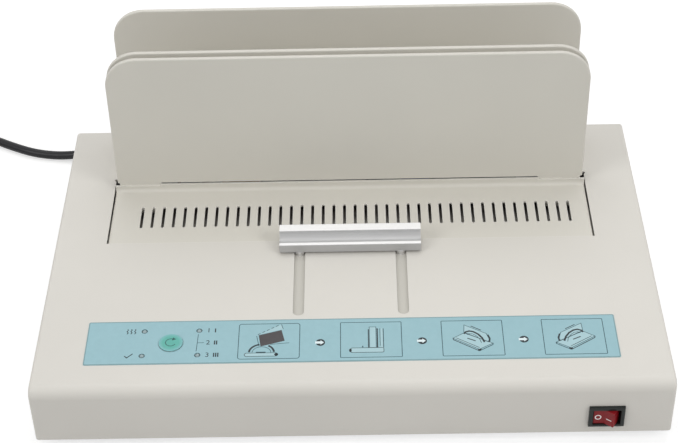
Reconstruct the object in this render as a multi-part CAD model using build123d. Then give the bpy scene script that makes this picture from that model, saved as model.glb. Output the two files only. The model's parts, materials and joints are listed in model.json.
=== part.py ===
from build123d import *
from math import cos, pi, radians, sin, sqrt, tan
import os

# A thermal binding machine. Millimetres, X to the right, Y to the back, Z up.
# The origin lies on the table, under the middle of the housing.
# The front plate stands on a carriage that slides towards the user, which opens
# the binding slot over the hot plate. The middle and back plates are fixed.

# General
overrun = 2
running_gap = 0.4
fit = 0.05
side_signs = (-1, 1)

# Housing
cover_width = 380
cover_depth = 254
cover_height = 40
cover_sheet = 1.2
front_bend_inside = 5.8
edge_inside = 0.8
foot_height = 8

# Bottom tray
tray_sheet = 1.5
tray_gap = 0.3
tray_flange = 12
floor_vent_length = 40
floor_vent_width = 4
floor_vent_pitch = 12
floor_vent_count = 10
floor_vent_inset = 67

# Screws and nuts
m4_radius = 2
m4_head_radius = 4
m4_head_height = 2.4
m3_radius = 1.5
m3_head_radius = 2.8
m3_head_height = 1.9
recess_width_share = 0.22
recess_length_share = 1.15
recess_depth_share = 0.5
hole_gap = 0.2
nut_flats = 7
nut_height = 3.2
screw_tip = 1.5

# Feet
foot_inset_side = 30
foot_inset_end = 26
foot_bottom_radius = 8
foot_top_radius = 9.5
foot_recess_radius = 5
foot_web = 3.4

# Side screws of the housing
side_screw_height = 7
side_screw_length = 7
side_screw_inset = 37

# Upright plates
plate_side_inset = 35
plate_height = 103
plate_thickness = 3
plate_corner = 21
plate_edge = 0.9
plate_bend_inside = 1.5
plate_foot = 16
plate_screw_inset = 15
plate_screw_inner = 70
plate_screw_length = 9
binding_gap = 4.3
cooling_gap = 45.6
back_plate_inset = 7.8
back_plate_extra = 0.4

# Opening in the housing, and the carriage below it
opening_side_gap = 2.1
opening_reach = 57.1
opening_tuck = 1.2
relief_radius = 1.1
carriage_side_gap = 0.6
carriage_sheet_thickness = 1.2
carriage_bend_inside = 2.5
carriage_edge = 0.8
carriage_overlap = 12
lip_height = 5.2
lip_tab_drop = 1
lip_slit = 0.7
tab_inset = 1.5
left_tab_width = 27.5
right_tab_width = 27.8
tab_foot = 19
skirt_depth = 26
skirt_back_gap = 6.3
tongue_width = 90
tongue_cover = 1.1
vent_left_margin = 19.9
vent_right_margin = 12.9
vent_pitch = 7
vent_width = 2
vent_length = 21.1
vent_inset = 27.7

# Handle and its slots
handle_length = 90
handle_depth = 17
handle_height = 10
handle_setback = 13.2
handle_lift = 1.5
ridge_width = 2.6
ridge_height = 5.7
grip_slope = 1.4
valley_shares = (0.37, 0.58)
grip_start_share = 0.53
handle_edge = 0.5
handle_screw_spacing = 64.4
handle_slot_width = 7
spacer_radius = 3.1
spacer_nose = 0.5
slot_back_gap = 1.9
slot_front_gap = 3.9
slot_label_gap = 3.7
handle_screw_grip = 5

# Guide rods
rod_radius = 4
rod_drop = 15.2
rod_front_reach = 31
rod_back_reach = 14.7
bracket_length = 8
bracket_width = 14
bracket_cap = 6.5
bracket_screw_length = 12
glide_width = 16
glide_setback = 11.8
glide_length = 30
glide_drop = 9.5
glide_screw_drop = 6.8
glide_screw_inset = 6
glide_screw_length = 8

# Hot plate stack
heater_gap = 0.5
heater_side_gap = 3.4
heater_end_gap = 3.3
hot_plate_thickness = 6
element_thickness = 1.5
element_inset = 5
insulation_thickness = 4.5
heater_tray_sheet = 1.2
heater_tray_lip = 10
post_radius = 5
post_inset_side = 16
post_inset_end = 13
post_bore_gap = 0.2
heater_screw_bite = 3.5
cutout_radius = 7.8
cutout_height = 9
cutout_x = 62
cutout_setback = 30.5
cutout_gap = 1
cutout_blade = (0.8, 5, 6)
cutout_blade_spread = 8
sensor_radius = 2
sensor_length = 24
sensor_tail = 6
sensor_x = -45
element_tab_width = 5
element_tab_reach = 4
element_tab_x = (92, 108)
element_tab_gap = 1

# Panel label and what lies under it
label_side_inset = 30.4
label_depth = 36.9
label_thickness = 0.4
label_corner = 1
label_front_inset = 22
controls_drop = 0.85
led_spread = 21.1
status_led_inset = 34.5
level_led_inset = 67.7
led_radius = 1.5
led_flange_radius = 1.9
led_flange_height = 0.8
led_stand_out = 0.5
led_gap = 0.15
button_inset = 51.1
button_radius = 7.3
button_disc = 0.5
button_edge = 0.2
button_gap = 0.2
button_travel = 0.5
button_clearance = 0.1
button_hole_gap = 0.7
plunger_radius = 2.5
stem_radius = 1.6
stem_reach = 0.9
board_thickness = 1.6
board_drop = 3.6
board_width = 64
board_depth = 43
board_shift = 0.5
board_hole_inset = 5
standoff_radius = 3
board_screw_bite = 3
tact_side = 6.2
tact_height = 3.2
tact_bore_depth = 1.8
buzzer_radius = 6
buzzer_height = 9
buzzer_offset = (16, -5.85)
chip_size = (20, 8, 3.5)
chip_offset = (-8, 2.15)

# Rocker switch
switch_inset = 39.6
switch_rise = 13.8
bezel_width = 21.2
bezel_height = 15.8
bezel_thickness = 2
bezel_edge = 0.8
window_width = 16.6
window_height = 11.8
switch_body_width = 19
switch_body_height = 13.2
switch_body_depth = 14
switch_body_gap = 0.1
switch_floor = 3
rocker_tilt = 18
rocker_play = 0.25
pivot_depth = 4
rocker_valley = 5.4
rocker_rim = 7.4
rocker_back = 3.4
rocker_back_width = 6
rocker_edge = 0.4
pivot_pin_radius = 1.1
pivot_pin_length = 0.5
blade_spread = 5.5
blade_size = (0.8, 8, 4.8)

# Power board behind the hot plate
power_board_width = 92
power_board_depth = 38
power_board_x = 70
power_board_lift = 8
support_radius = 3.5
support_pin_radius = 1.9
support_hole_inset = 4
support_pin_reach = 1.8
relay_size = (19, 15.5, 15.3)
relay_place_shares = (-0.28, -0.24)
fuse_radius = 2.5
fuse_length = 20
fuse_lift = 5
fuse_place_shares = (0.06, 0.3)
clip_size = (5, 7, 8)
terminal_size = (26, 10, 12)
terminal_place_shares = (-0.24, 0.34)
terminal_count = 4
terminal_hole_radius = 1.6
terminal_hole_depth = 6

# Transformer
core_width = 42
core_depth = 16
core_height = 30
core_leg = 14
core_side = 6
winding_wall = 5.5
winding_end = 9
transformer_offset = 37
transformer_foot = 12
transformer_foot_sheet = 1.2

# Mains entry
cord_exit_inset = 78
cord_exit_height = 22
cord_radius = 3.1
bushing_inside = 8
bushing_flange_radius = 8
bushing_flange = 2.5
bushing_neck_radius = 6
bushing_lead = 0.5
bushing_elbow_radius = 8
bushing_turn_share = 5 / 6
bushing_taper = 20
bushing_tip_radius = 4.6
earth_screw_offset = 16
earth_screw_inset = 35
lug_radius = 4.5
lug_sheet = 0.8
lug_tail = (9, 3.6)

# Inner wires
wire_radius = 1.2
wire_pair_step = 3.4
wire_lane_height = 4
wire_entry_height = 4
wire_start = 5
front_lane_inset = 15
back_lane_inset = 7
side_lane_inset = 11
switch_lane_inset = 32
lane_turn_step = 12
lane_turn_x = (-40, 0)
terminal_wire_shares = (-0.15, 0.2)
earth_wire_rise = 3
heater_wire_setback = 11.6
cable_radius = 2
cable_start_offset = (20, 10.15)
cable_lane_x = (-60, -20, 10)
cable_lane_rise = 47.4
cable_lane_setback = 42.6
cable_lane_nudge = 0.6
cable_end_x = 30
cable_arch = 5

# Mains cord: the route of its free stretch, each point's x and y measured from the
# bushing's tip and its height from the table
bend_share = 0.45
cord_route = [
    (0, 0, 22),
    (-14.5, 3.9, 22),
    (-28.5, 7.6, 18),
    (-43, 11, 11.5),
    (-58, 14, 5.7),
    (-75, 15.9, 3.1),
    (-93, 19.3, 3.1),
    (-110.5, 27.7, 3.1),
    (-127, 37.6, 3.1),
    (-146, 44.8, 3.1),
    (-170, 47.9, 3.1),
    (-200.5, 46.2, 3.1),
]
coil_heading = (-30, -3.6)
coil_turn_gap = 0.7
coil_inner_radius = 31
coil_spiral_turns = 2.5
coil_return_turns = 2.25
coil_climb_turns = 0.5
coil_climb_dip = 1.2
coil_gap_step = 2.5
coil_entry_lead = 6.2
coil_exit_lead = 16
coil_stations = 4
coil_neighbour_share = 3

# Plug
plug_width = 34
plug_length = 30
plug_height = 26
plug_edge = 4.5
plug_nose_length = 24
plug_nose_radius = 8.5
plug_nose_tip = 4.6
pin_width = 6.3
pin_thickness = 1.6
pin_length = 18
earth_pin_length = 21
pin_spread = 7.9
pin_rise = 4
earth_pin_drop = 6.5
pin_slant = 30

# Levels and faces that follow from the sizes
half_width = cover_width / 2
half_depth = cover_depth / 2
cover_bottom = foot_height
cover_top = foot_height + cover_height
ceiling = cover_top - cover_sheet
floor_top = cover_bottom + tray_sheet
tray_half_width = half_width - cover_sheet - tray_gap
tray_half_depth = half_depth - cover_sheet - tray_gap
plate_top = cover_top + plate_height
plate_width = cover_width - 2 * plate_side_inset
back_plate_face = half_depth - back_plate_inset
middle_plate_face = back_plate_face - cooling_gap - plate_thickness
front_plate_face = middle_plate_face - binding_gap - plate_thickness
opening_width = plate_width + 2 * opening_side_gap
opening_front = front_plate_face - opening_reach
carriage_top = ceiling - running_gap
carriage_bottom = carriage_top - carriage_sheet_thickness
carriage_half = opening_width / 2 - carriage_side_gap
carriage_front = opening_front - carriage_overlap
front_plate_back = front_plate_face + plate_thickness
opening_back = middle_plate_face + opening_tuck
lip_top = carriage_top + lip_height
skirt_back = front_plate_face - skirt_back_gap
vent_middle = opening_front + vent_inset
label_width = cover_width - 2 * label_side_inset
label_left = -label_width / 2
label_middle = label_front_inset + label_depth / 2 - half_depth
controls_y = label_middle - controls_drop
handle_front = opening_front - handle_setback
spacer_y = handle_front - spacer_nose + spacer_radius
slot_back = spacer_y + spacer_radius + slot_back_gap
slot_front = label_middle + label_depth / 2 + slot_label_gap
carriage_travel = spacer_y - spacer_radius - slot_front_gap - slot_front
tongue_front = slot_front - tongue_cover
tab_foot_bottom = carriage_bottom - plate_thickness
tab_nut_bottom = tab_foot_bottom - nut_height
hot_plate_top = tab_nut_bottom - heater_gap
hot_plate_bottom = hot_plate_top - hot_plate_thickness
element_bottom = hot_plate_bottom - element_thickness
insulation_bottom = element_bottom - insulation_thickness
heater_tray_bottom = insulation_bottom - heater_tray_sheet
heater_half = carriage_half - carriage_sheet_thickness - heater_side_gap
heater_front = opening_front + heater_end_gap
heater_back = middle_plate_face - heater_tray_sheet
rod_x = carriage_half + glide_width / 2
rod_height = carriage_bottom - rod_drop
glide_front = opening_front + glide_setback
glide_bottom = rod_height - glide_drop
glide_screw_height = rod_height - glide_screw_drop
rod_front = glide_front - carriage_travel - rod_front_reach
rod_back = front_plate_face + rod_back_reach
cutout_place = (cutout_x, heater_front + cutout_setback)
label_top = cover_top + label_thickness
button_x = label_left + button_inset
board_x = button_x + board_shift
board_top = ceiling - board_drop
board_bottom = board_top - board_thickness
tact_top = board_top + tact_height
switch_x = half_width - switch_inset
switch_z = cover_bottom + switch_rise
pivot_y = -half_depth + pivot_depth
power_board_bottom = floor_top + power_board_lift
power_board_top = power_board_bottom + board_thickness
power_board_y = (heater_back + half_depth - cover_sheet) / 2
cord_exit_x = cord_exit_inset - half_width
transformer_x = cord_exit_x + transformer_offset
earth_screw_place = (cord_exit_x - earth_screw_offset, half_depth - earth_screw_inset)
front_lane_y = half_depth - front_lane_inset
back_lane_y = half_depth - back_lane_inset
side_lane_x = half_width - side_lane_inset
switch_lane_y = switch_lane_inset - half_depth
heater_wire_y = power_board_y - heater_wire_setback
cable_start = (board_x + cable_start_offset[0], controls_y + cable_start_offset[1])
cable_lane_y = (
    controls_y + cable_lane_rise,
    power_board_y - cable_lane_setback,
    power_board_y - cable_lane_nudge,
)
floor_vent_y = floor_vent_inset - half_depth
coil_pitch = 2 * cord_radius + coil_turn_gap

# Places of repeated pieces
foot_places = [
    (side * (half_width - foot_inset_side), end * (half_depth - foot_inset_end))
    for side in side_signs
    for end in side_signs
]
plate_screw_columns = [
    side * reach
    for reach in (plate_width / 2 - plate_screw_inset, plate_screw_inner / 2)
    for side in side_signs
]
plate_screw_rows = (
    middle_plate_face + plate_foot / 2 + plate_thickness,
    back_plate_face + plate_thickness - plate_foot / 2 - plate_thickness,
)
plate_screw_places = [(x, y) for y in plate_screw_rows for x in plate_screw_columns]
handle_screw_places = [(side * handle_screw_spacing / 2, spacer_y) for side in side_signs]
bracket_middles = (rod_front + bracket_length / 2, rod_back - bracket_length / 2)
bracket_places = [(side * rod_x, y) for side in side_signs for y in bracket_middles]
post_places = [
    (side * (heater_half - post_inset_side), y)
    for side in side_signs
    for y in (heater_front + post_inset_end, heater_back - post_inset_end)
]
left_tab = (-plate_width / 2 + tab_inset, -plate_width / 2 + tab_inset + left_tab_width)
right_tab = (plate_width / 2 - tab_inset - right_tab_width, plate_width / 2 - tab_inset)
tab_spans = (left_tab, right_tab)
stud_y = front_plate_face - tab_foot / 2
stud_places = [(sum(span) / 2, stud_y) for span in tab_spans]
led_places = [
    (x, controls_y + end * led_spread / 2)
    for x in (label_left + status_led_inset, label_left + level_led_inset)
    for end in side_signs
]
board_hole_places = [
    (
        board_x + side * (board_width / 2 - board_hole_inset),
        controls_y + end * (board_depth / 2 - board_hole_inset),
    )
    for side in side_signs
    for end in side_signs
]
support_places = [
    (
        power_board_x + side * (power_board_width / 2 - support_hole_inset),
        power_board_y + end * (power_board_depth / 2 - support_hole_inset),
    )
    for side in side_signs
    for end in side_signs
]
transformer_screw_places = [
    (transformer_x + side * (core_width + transformer_foot) / 2, power_board_y)
    for side in side_signs
]
side_screw_rows = (side_screw_inset - half_depth, 0, half_depth - side_screw_inset)


def block(x_span, y_span, z_span):
    """A box between three pairs of limits."""
    spans = (x_span, y_span, z_span)
    size = [high - low for low, high in spans]
    middle = [(low + high) / 2 for low, high in spans]
    return Pos(*middle) * Box(*size)


def around(middle, length):
    """The pair of limits of a length about its middle."""
    return (middle - length / 2, middle + length / 2)


def placed_block(place, size, bottom):
    """A box of a given size that stands on a level."""
    return block(around(place[0], size[0]), around(place[1], size[1]), (bottom, bottom + size[2]))


def upright(place, z_span, radius):
    """A vertical cylinder."""
    bottom, top = z_span
    return Pos(place[0], place[1], (bottom + top) / 2) * Cylinder(radius, top - bottom)


def along_y(x, z, y_span, radius):
    """A cylinder along Y."""
    start, end = y_span
    axis = Plane(origin=(x, start, z), z_dir=(0, 1, 0))
    return axis * Cylinder(radius, end - start, align=(Align.CENTER, Align.CENTER, Align.MIN))


def screw(seat, direction, length, radius, head_radius, head_height):
    """A pan head screw: the head stands on the seat, the shank runs along the direction."""
    foot = (Align.CENTER, Align.CENTER, Align.MIN)
    shank = Cylinder(radius, length, align=foot)
    head = Pos(0, 0, -head_height) * Cylinder(head_radius, head_height, align=foot)
    recess_depth = head_height * recess_depth_share
    bar_long = head_radius * recess_length_share
    bar_wide = head_radius * recess_width_share
    level = Pos(0, 0, -head_height)
    recess = level * Box(bar_long, bar_wide, recess_depth, align=foot)
    recess += level * Box(bar_wide, bar_long, recess_depth, align=foot)
    return Plane(origin=seat, z_dir=direction) * (shank + head - recess)


def m4_screw(seat, direction, length):
    """An M4 pan head screw."""
    return screw(seat, direction, length, m4_radius, m4_head_radius, m4_head_height)


def m3_screw(seat, direction, length):
    """An M3 pan head screw."""
    return screw(seat, direction, length, m3_radius, m3_head_radius, m3_head_height)


def nut(place, bottom):
    """A hexagon nut for an M4 screw."""
    blank = extrude(RegularPolygon(nut_flats / 2, 6, major_radius=False), amount=nut_height)
    bored = blank - upright((0, 0), (-overrun, nut_height + overrun), m4_radius + fit)
    return Pos(place[0], place[1], bottom) * bored


def holes(places, z_span, radius):
    """Vertical drill holes at a list of places."""
    return [upright(place, z_span, radius) for place in places]


def save(name, *solids):
    """One node: its solids go to one STEP file."""
    os.makedirs("parts", exist_ok=True)
    shape = solids[0] if len(solids) == 1 else Compound(children=[flat(s) for s in solids])
    export_step(shape, os.path.join("parts", name + ".step"))


def flat(shape):
    """The single solid that a shape holds."""
    return shape.solid() if len(shape.solids()) == 1 else shape


# Housing


def housing_form(inset, bottom, front_bend, edge):
    """The folded housing's outer or inner form: the front bend is the wide one."""
    depth = cover_depth / 2 - inset
    top = cover_top - inset
    end = Pos(0, (top + bottom) / 2) * Rectangle(2 * depth, top - bottom)
    front_top, back_top = end.vertices().group_by(Axis.Y)[-1].sort_by(Axis.X)
    end = fillet(front_top, front_bend)
    back_top = end.vertices().sort_by(Axis.X).group_by(Axis.Y)[-1].sort_by(Axis.X)[-1]
    end = fillet(back_top, edge)
    form = extrude(Plane.YZ * end, amount=half_width - inset, both=True)
    sides = form.faces().sort_by(Axis.X)
    rims = sides[0].edges() + sides[-1].edges()
    rims = [e for e in rims if e.center().Z > bottom + edge]
    return fillet(rims, edge)


def handle_slots(z_span):
    """The two slots that the handle's spacers run in."""
    length = slot_back - slot_front
    middle = (slot_back + slot_front) / 2
    slot = extrude(SlotOverall(length, handle_slot_width, rotation=90), amount=z_span[1] - z_span[0])
    return [Pos(x, middle, z_span[0]) * slot for x, _ in handle_screw_places]


def top_cover():
    """The folded steel housing, open below."""
    outer = housing_form(0, cover_bottom, front_bend_inside + cover_sheet, edge_inside + cover_sheet)
    inner = housing_form(cover_sheet, cover_bottom - overrun, front_bend_inside, edge_inside)
    through_top = (ceiling - overrun, cover_top + overrun)
    opening = block(around(0, opening_width), (opening_front, opening_back), through_top)
    cuts = [opening] + handle_slots(through_top)
    corners = [(side * opening_width / 2, opening_back) for side in side_signs]
    cuts += holes(corners, through_top, relief_radius)
    cuts += holes(led_places, through_top, led_radius + led_gap)
    cuts += holes([(button_x, controls_y)], through_top, plunger_radius + button_hole_gap)
    cuts += holes(plate_screw_places, through_top, m4_radius + hole_gap)
    switch_width = switch_body_width + 2 * switch_body_gap
    switch_height = switch_body_height + 2 * switch_body_gap
    front_wall = (-half_depth - overrun, -half_depth + cover_sheet + overrun)
    cuts.append(block(around(switch_x, switch_width), front_wall, around(switch_z, switch_height)))
    back_wall = (half_depth - cover_sheet - overrun, half_depth + overrun)
    cuts.append(along_y(cord_exit_x, cord_exit_height, back_wall, bushing_neck_radius + fit))
    for seat, direction in side_screw_seats():
        hole = Cylinder(m4_radius + hole_gap, 2 * (cover_sheet + overrun))
        cuts.append(Plane(origin=seat, z_dir=direction) * hole)
    return outer - inner - cuts


def side_screw_seats():
    """Where the side screws' heads bear, and the way that they point."""
    height = cover_bottom + side_screw_height
    return [
        ((side * half_width, y, height), (-side, 0, 0)) for side in side_signs for y in side_screw_rows
    ]


def base_plate():
    """The bottom tray with its two side flanges, vents and screw holes."""
    floor = (cover_bottom, floor_top)
    tray = block(around(0, 2 * tray_half_width), around(0, 2 * tray_half_depth), floor)
    for side in side_signs:
        outer = side * tray_half_width
        inner = outer - side * tray_sheet
        span = (min(outer, inner), max(outer, inner))
        tray += block(span, around(0, 2 * tray_half_depth), (cover_bottom, floor_top + tray_flange))
    through = (cover_bottom - overrun, floor_top + overrun)
    screws = foot_places + bracket_places + post_places + transformer_screw_places
    cuts = holes(screws + [earth_screw_place], through, m4_radius + hole_gap)
    cuts += holes(support_places, through, support_pin_radius + hole_gap)
    vent = extrude(SlotOverall(floor_vent_length, floor_vent_width, rotation=90), amount=2 * overrun)
    for row in range(floor_vent_count):
        x = (row - (floor_vent_count - 1) / 2) * floor_vent_pitch
        cuts.append(Pos(x, floor_vent_y, cover_bottom - overrun / 2) * vent)
    for seat, direction in side_screw_seats():
        hole = Cylinder(m4_radius + fit, 2 * side_screw_length)
        cuts.append(Plane(origin=seat, z_dir=direction) * hole)
    return tray - cuts


def rubber_foot(place):
    """A tapered foot with a sunk screw seat."""
    cone = Cone(foot_bottom_radius, foot_top_radius, foot_height)
    cone = Pos(place[0], place[1], foot_height / 2) * cone
    recess = upright(place, (-overrun, foot_height - foot_web), foot_recess_radius)
    bore = upright(place, (0, foot_height + overrun), m4_radius + fit)
    return cone - recess - bore


def foot_screw(place):
    """The screw that holds a foot, from below."""
    length = foot_web + tray_sheet + nut_height + screw_tip
    return m4_screw((place[0], place[1], foot_height - foot_web), (0, 0, 1), length)


def make_housing():
    """The housing, its bottom tray, feet and screws."""
    save("top_cover", top_cover())
    save("base_plate", base_plate())
    save("rubber_feet", *[rubber_foot(place) for place in foot_places])
    save("feet_screws", *[foot_screw(place) for place in foot_places])
    nuts = [nut(place, floor_top) for place in foot_places]
    nuts += [nut(place, floor_top + transformer_foot_sheet) for place in transformer_screw_places]
    nuts.append(nut(earth_screw_place, floor_top + lug_sheet))
    save("tray_nuts", *nuts)
    length = tray_sheet + transformer_foot_sheet + nut_height + screw_tip
    seats = [(x, y, cover_bottom) for x, y in transformer_screw_places + [earth_screw_place]]
    save("tray_screws", *[m4_screw(seat, (0, 0, 1), length) for seat in seats])
    seats = side_screw_seats()
    save("cover_screws", *[m4_screw(seat, way, side_screw_length) for seat, way in seats])


# Upright plates


def plate_outline(y_span, bottom, top):
    """A plate's outline with its two rounded top corners, cut along Y."""
    start, end = y_span
    sketch = Pos(0, (bottom + top) / 2) * Rectangle(plate_width, top - bottom)
    sketch = fillet(sketch.vertices().group_by(Axis.Y)[-1], plate_corner)
    facing = Plane(origin=(0, end, 0), x_dir=(1, 0, 0), z_dir=(0, -1, 0))
    return extrude(facing * sketch, amount=end - start)


def soften(plate, face, above):
    """Rounds the rims of an upright plate's two faces above a level."""
    rims = [
        e
        for e in plate.edges()
        if e.center().Z > above
        and (abs(e.center().Y - face) < fit or abs(e.center().Y - face - plate_thickness) < fit)
    ]
    return fillet(rims, plate_edge)


def fixed_plate(face, way, top):
    """An upright plate with a foot on the housing; the foot runs forwards or backwards."""
    near = face if way > 0 else face + plate_thickness
    centre_line = near + way * plate_thickness / 2
    toe = near + way * (plate_foot + plate_thickness)
    level = cover_top + plate_thickness / 2
    line = FilletPolyline(
        (centre_line, top),
        (centre_line, level),
        (toe, level),
        radius=plate_bend_inside + plate_thickness / 2,
    )
    section = trace(line, plate_thickness)
    bent = extrude(Plane.YZ * section, amount=plate_width / 2, dir=(1, 0, 0), both=True)
    span = (min(near, toe) - overrun, max(near, toe) + overrun)
    bent = bent & plate_outline(span, cover_top - plate_corner, top)
    bent = soften(bent, face, cover_top + plate_height / 2)
    row = [place for place in plate_screw_places if min(near, toe) < place[1] < max(near, toe)]
    through = (cover_top - overrun, cover_top + plate_thickness + overrun)
    return bent - holes(row, through, m4_radius + hole_gap)


def make_fixed_plates():
    """The middle plate, the back plate and what holds them."""
    save("middle_plate", fixed_plate(middle_plate_face, 1, plate_top))
    save("back_plate", fixed_plate(back_plate_face, -1, plate_top + back_plate_extra))
    seat = cover_top + plate_thickness
    screws = [m4_screw((x, y, seat), (0, 0, -1), plate_screw_length) for x, y in plate_screw_places]
    save("plate_screws", *screws)
    save("plate_nuts", *[nut(place, ceiling - nut_height) for place in plate_screw_places])


# Carriage


def carriage_sheet():
    """The sliding sheet: vents, a lip in front of the plate, side skirts and a tongue."""
    lip_line = front_plate_face - carriage_sheet_thickness / 2
    level = (carriage_top + carriage_bottom) / 2
    line = FilletPolyline(
        (carriage_front, level),
        (lip_line, level),
        (lip_line, lip_top),
        radius=carriage_bend_inside + carriage_sheet_thickness / 2,
    )
    section = trace(line, carriage_sheet_thickness)
    sheet = extrude(Plane.YZ * section, amount=carriage_half, dir=(1, 0, 0), both=True)
    for side in side_signs:
        outer = side * carriage_half
        inner = outer - side * carriage_sheet_thickness
        span = (min(outer, inner), max(outer, inner))
        drop = (carriage_bottom - skirt_depth, carriage_top)
        sheet += block(span, (carriage_front, skirt_back), drop)
    long_rims = [
        e
        for e in sheet.edges().filter_by(Axis.Y)
        if abs(e.center().Z - carriage_top) < fit and abs(abs(e.center().X) - carriage_half) < fit
    ]
    sheet = fillet(long_rims, carriage_edge)
    tongue = (carriage_bottom, carriage_top)
    sheet += block(around(0, tongue_width), (tongue_front, carriage_front + overrun), tongue)
    studs = holes(stud_places, (tab_nut_bottom, carriage_bottom + fit), m4_radius)
    sheet = sheet + studs
    behind = (front_plate_face - carriage_sheet_thickness - fit, front_plate_face + fit)
    ends = (
        (-carriage_half - overrun, left_tab[1]),
        (right_tab[0], carriage_half + overrun),
    )
    cuts = [block(end, behind, (lip_top - lip_tab_drop, lip_top + overrun)) for end in ends]
    through = (carriage_bottom - overrun, carriage_top + overrun)
    slot = extrude(SlotOverall(vent_length, vent_width, rotation=90), amount=through[1] - through[0])
    vent_span = 2 * carriage_half - vent_left_margin - vent_right_margin
    for index in range(int(vent_span / vent_pitch) + 1):
        x = vent_left_margin - carriage_half + index * vent_pitch
        cuts.append(Pos(x, vent_middle, through[0]) * slot)
    cuts += holes(handle_screw_places, through, m4_radius + hole_gap)
    for seat, direction in glide_screw_seats():
        cuts.append(Plane(origin=seat, z_dir=direction) * Cylinder(m3_radius + fit, glide_screw_length))
    return sheet - cuts


def front_plate():
    """The sliding plate: two end tabs go down behind the lip to feet below the sheet."""
    outline = plate_outline((front_plate_face, front_plate_back), lip_top + lip_slit, plate_top)
    plate = soften(outline, front_plate_face, lip_top + lip_slit + plate_edge)
    for span in tab_spans:
        leg = block(span, (front_plate_face, front_plate_back), (tab_foot_bottom, lip_top + 2 * lip_slit))
        foot = block(
            span, (front_plate_face - tab_foot, front_plate_back), (tab_foot_bottom, carriage_bottom)
        )
        plate = plate + leg + foot
    through = (tab_foot_bottom - overrun, carriage_bottom + overrun)
    return plate - holes(stud_places, through, m4_radius + fit)


def handle():
    """An extruded grip: a low front ridge, a hollow and a high back ridge."""
    base = carriage_top + cover_sheet + running_gap + handle_lift
    grip_start = (handle_depth * grip_start_share, handle_height)
    valley = (handle_depth * valley_shares[0], handle_height * valley_shares[1])
    back = (handle_depth, handle_height - grip_slope)
    outline = [
        Line((0, 0), (0, ridge_height)),
        Line((0, ridge_height), (ridge_width, ridge_height)),
        ThreePointArc((ridge_width, ridge_height), valley, grip_start),
        Line(grip_start, (handle_depth - grip_slope, handle_height)),
        Line((handle_depth - grip_slope, handle_height), back),
        Line(back, (handle_depth, 0)),
        Line((handle_depth, 0), (0, 0)),
    ]
    section = make_face(Wire(outline))
    section = fillet(section.vertices().filter_by(lambda v: v.Y > handle_edge), handle_edge)
    place = Pos(handle_front, base)
    bar = extrude(Plane.YZ * place * section, amount=handle_length / 2, dir=(1, 0, 0), both=True)
    bore = (base - overrun, base + handle_screw_grip)
    return bar - holes(handle_screw_places, bore, m4_radius + fit)


def handle_spacer(place):
    """A round spacer that carries the handle through its slot."""
    z_span = (carriage_top, cover_top + handle_lift)
    return upright(place, z_span, spacer_radius) - upright(place, z_span, m4_radius + fit)


def handle_screw(place):
    """The screw up through the carriage and the spacer into the handle."""
    length = cover_top + handle_lift - carriage_bottom + handle_screw_grip - fit
    return m4_screw((place[0], place[1], carriage_bottom), (0, 0, 1), length)


def glide_screw_seats():
    """Where the glide blocks' screws bear inside the skirts, and the way that they point."""
    face = carriage_half - carriage_sheet_thickness
    rows = (glide_front + glide_screw_inset, glide_front + glide_length - glide_screw_inset)
    return [
        ((side * face, y, glide_screw_height), (side, 0, 0)) for side in side_signs for y in rows
    ]


def glide_block(side):
    """A bored nylon block that runs on a guide rod."""
    x_span = around(side * rod_x, glide_width)
    y_span = (glide_front, glide_front + glide_length)
    body = block(x_span, y_span, (glide_bottom, rod_height + bracket_cap))
    bore = (glide_front - overrun, glide_front + glide_length + overrun)
    body -= along_y(side * rod_x, rod_height, bore, rod_radius + fit)
    for seat, direction in glide_screw_seats():
        if direction[0] == side:
            hole = Cylinder(m3_radius + fit, 2 * glide_screw_length)
            body -= Plane(origin=seat, z_dir=direction) * hole
    return body


def make_carriage():
    """The carriage with its plate, handle and glide blocks."""
    save("carriage_sheet", carriage_sheet())
    save("front_plate", front_plate())
    save("front_plate_nuts", *[nut(place, tab_nut_bottom) for place in stud_places])
    save("handle", handle())
    save("handle_spacers", *[handle_spacer(place) for place in handle_screw_places])
    save("handle_screws", *[handle_screw(place) for place in handle_screw_places])
    save("glide_blocks", *[glide_block(side) for side in side_signs])
    seats = glide_screw_seats()
    save("glide_screws", *[m3_screw(seat, way, glide_screw_length) for seat, way in seats])


# Guide rods


def rod_bracket(place):
    """A bracket that holds one end of a guide rod over the bottom tray."""
    x_span = around(place[0], bracket_width)
    body = block(x_span, around(place[1], bracket_length), (floor_top, rod_height + bracket_cap))
    reach = (place[1] - bracket_length, place[1] + bracket_length)
    body -= along_y(place[0], rod_height, reach, rod_radius + fit)
    bore = (floor_top - overrun, cover_bottom + bracket_screw_length)
    return body - upright(place, bore, m4_radius + fit)


def make_guides():
    """The two guide rods, their brackets and screws."""
    rods = [along_y(side * rod_x, rod_height, (rod_front, rod_back), rod_radius) for side in side_signs]
    save("guide_rods", *rods)
    save("rod_brackets", *[rod_bracket(place) for place in bracket_places])
    seats = [(x, y, cover_bottom) for x, y in bracket_places]
    save("bracket_screws", *[m4_screw(seat, (0, 0, 1), bracket_screw_length) for seat in seats])


# Hot plate stack


def heater_layer(inset, z_span):
    """One layer of the hot plate stack, with the holes for its posts' screws."""
    x_span = around(0, 2 * (heater_half - inset))
    layer = block(x_span, (heater_front + inset, heater_back - inset), z_span)
    return layer - holes(post_places, (z_span[0] - overrun, z_span[1] + overrun), m4_radius + hole_gap)


def cutout_hole(z_span):
    """The round hole that lets the thermal cutout reach the hot plate."""
    return upright(cutout_place, (z_span[0] - overrun, z_span[1] + overrun), cutout_radius + cutout_gap)


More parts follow.
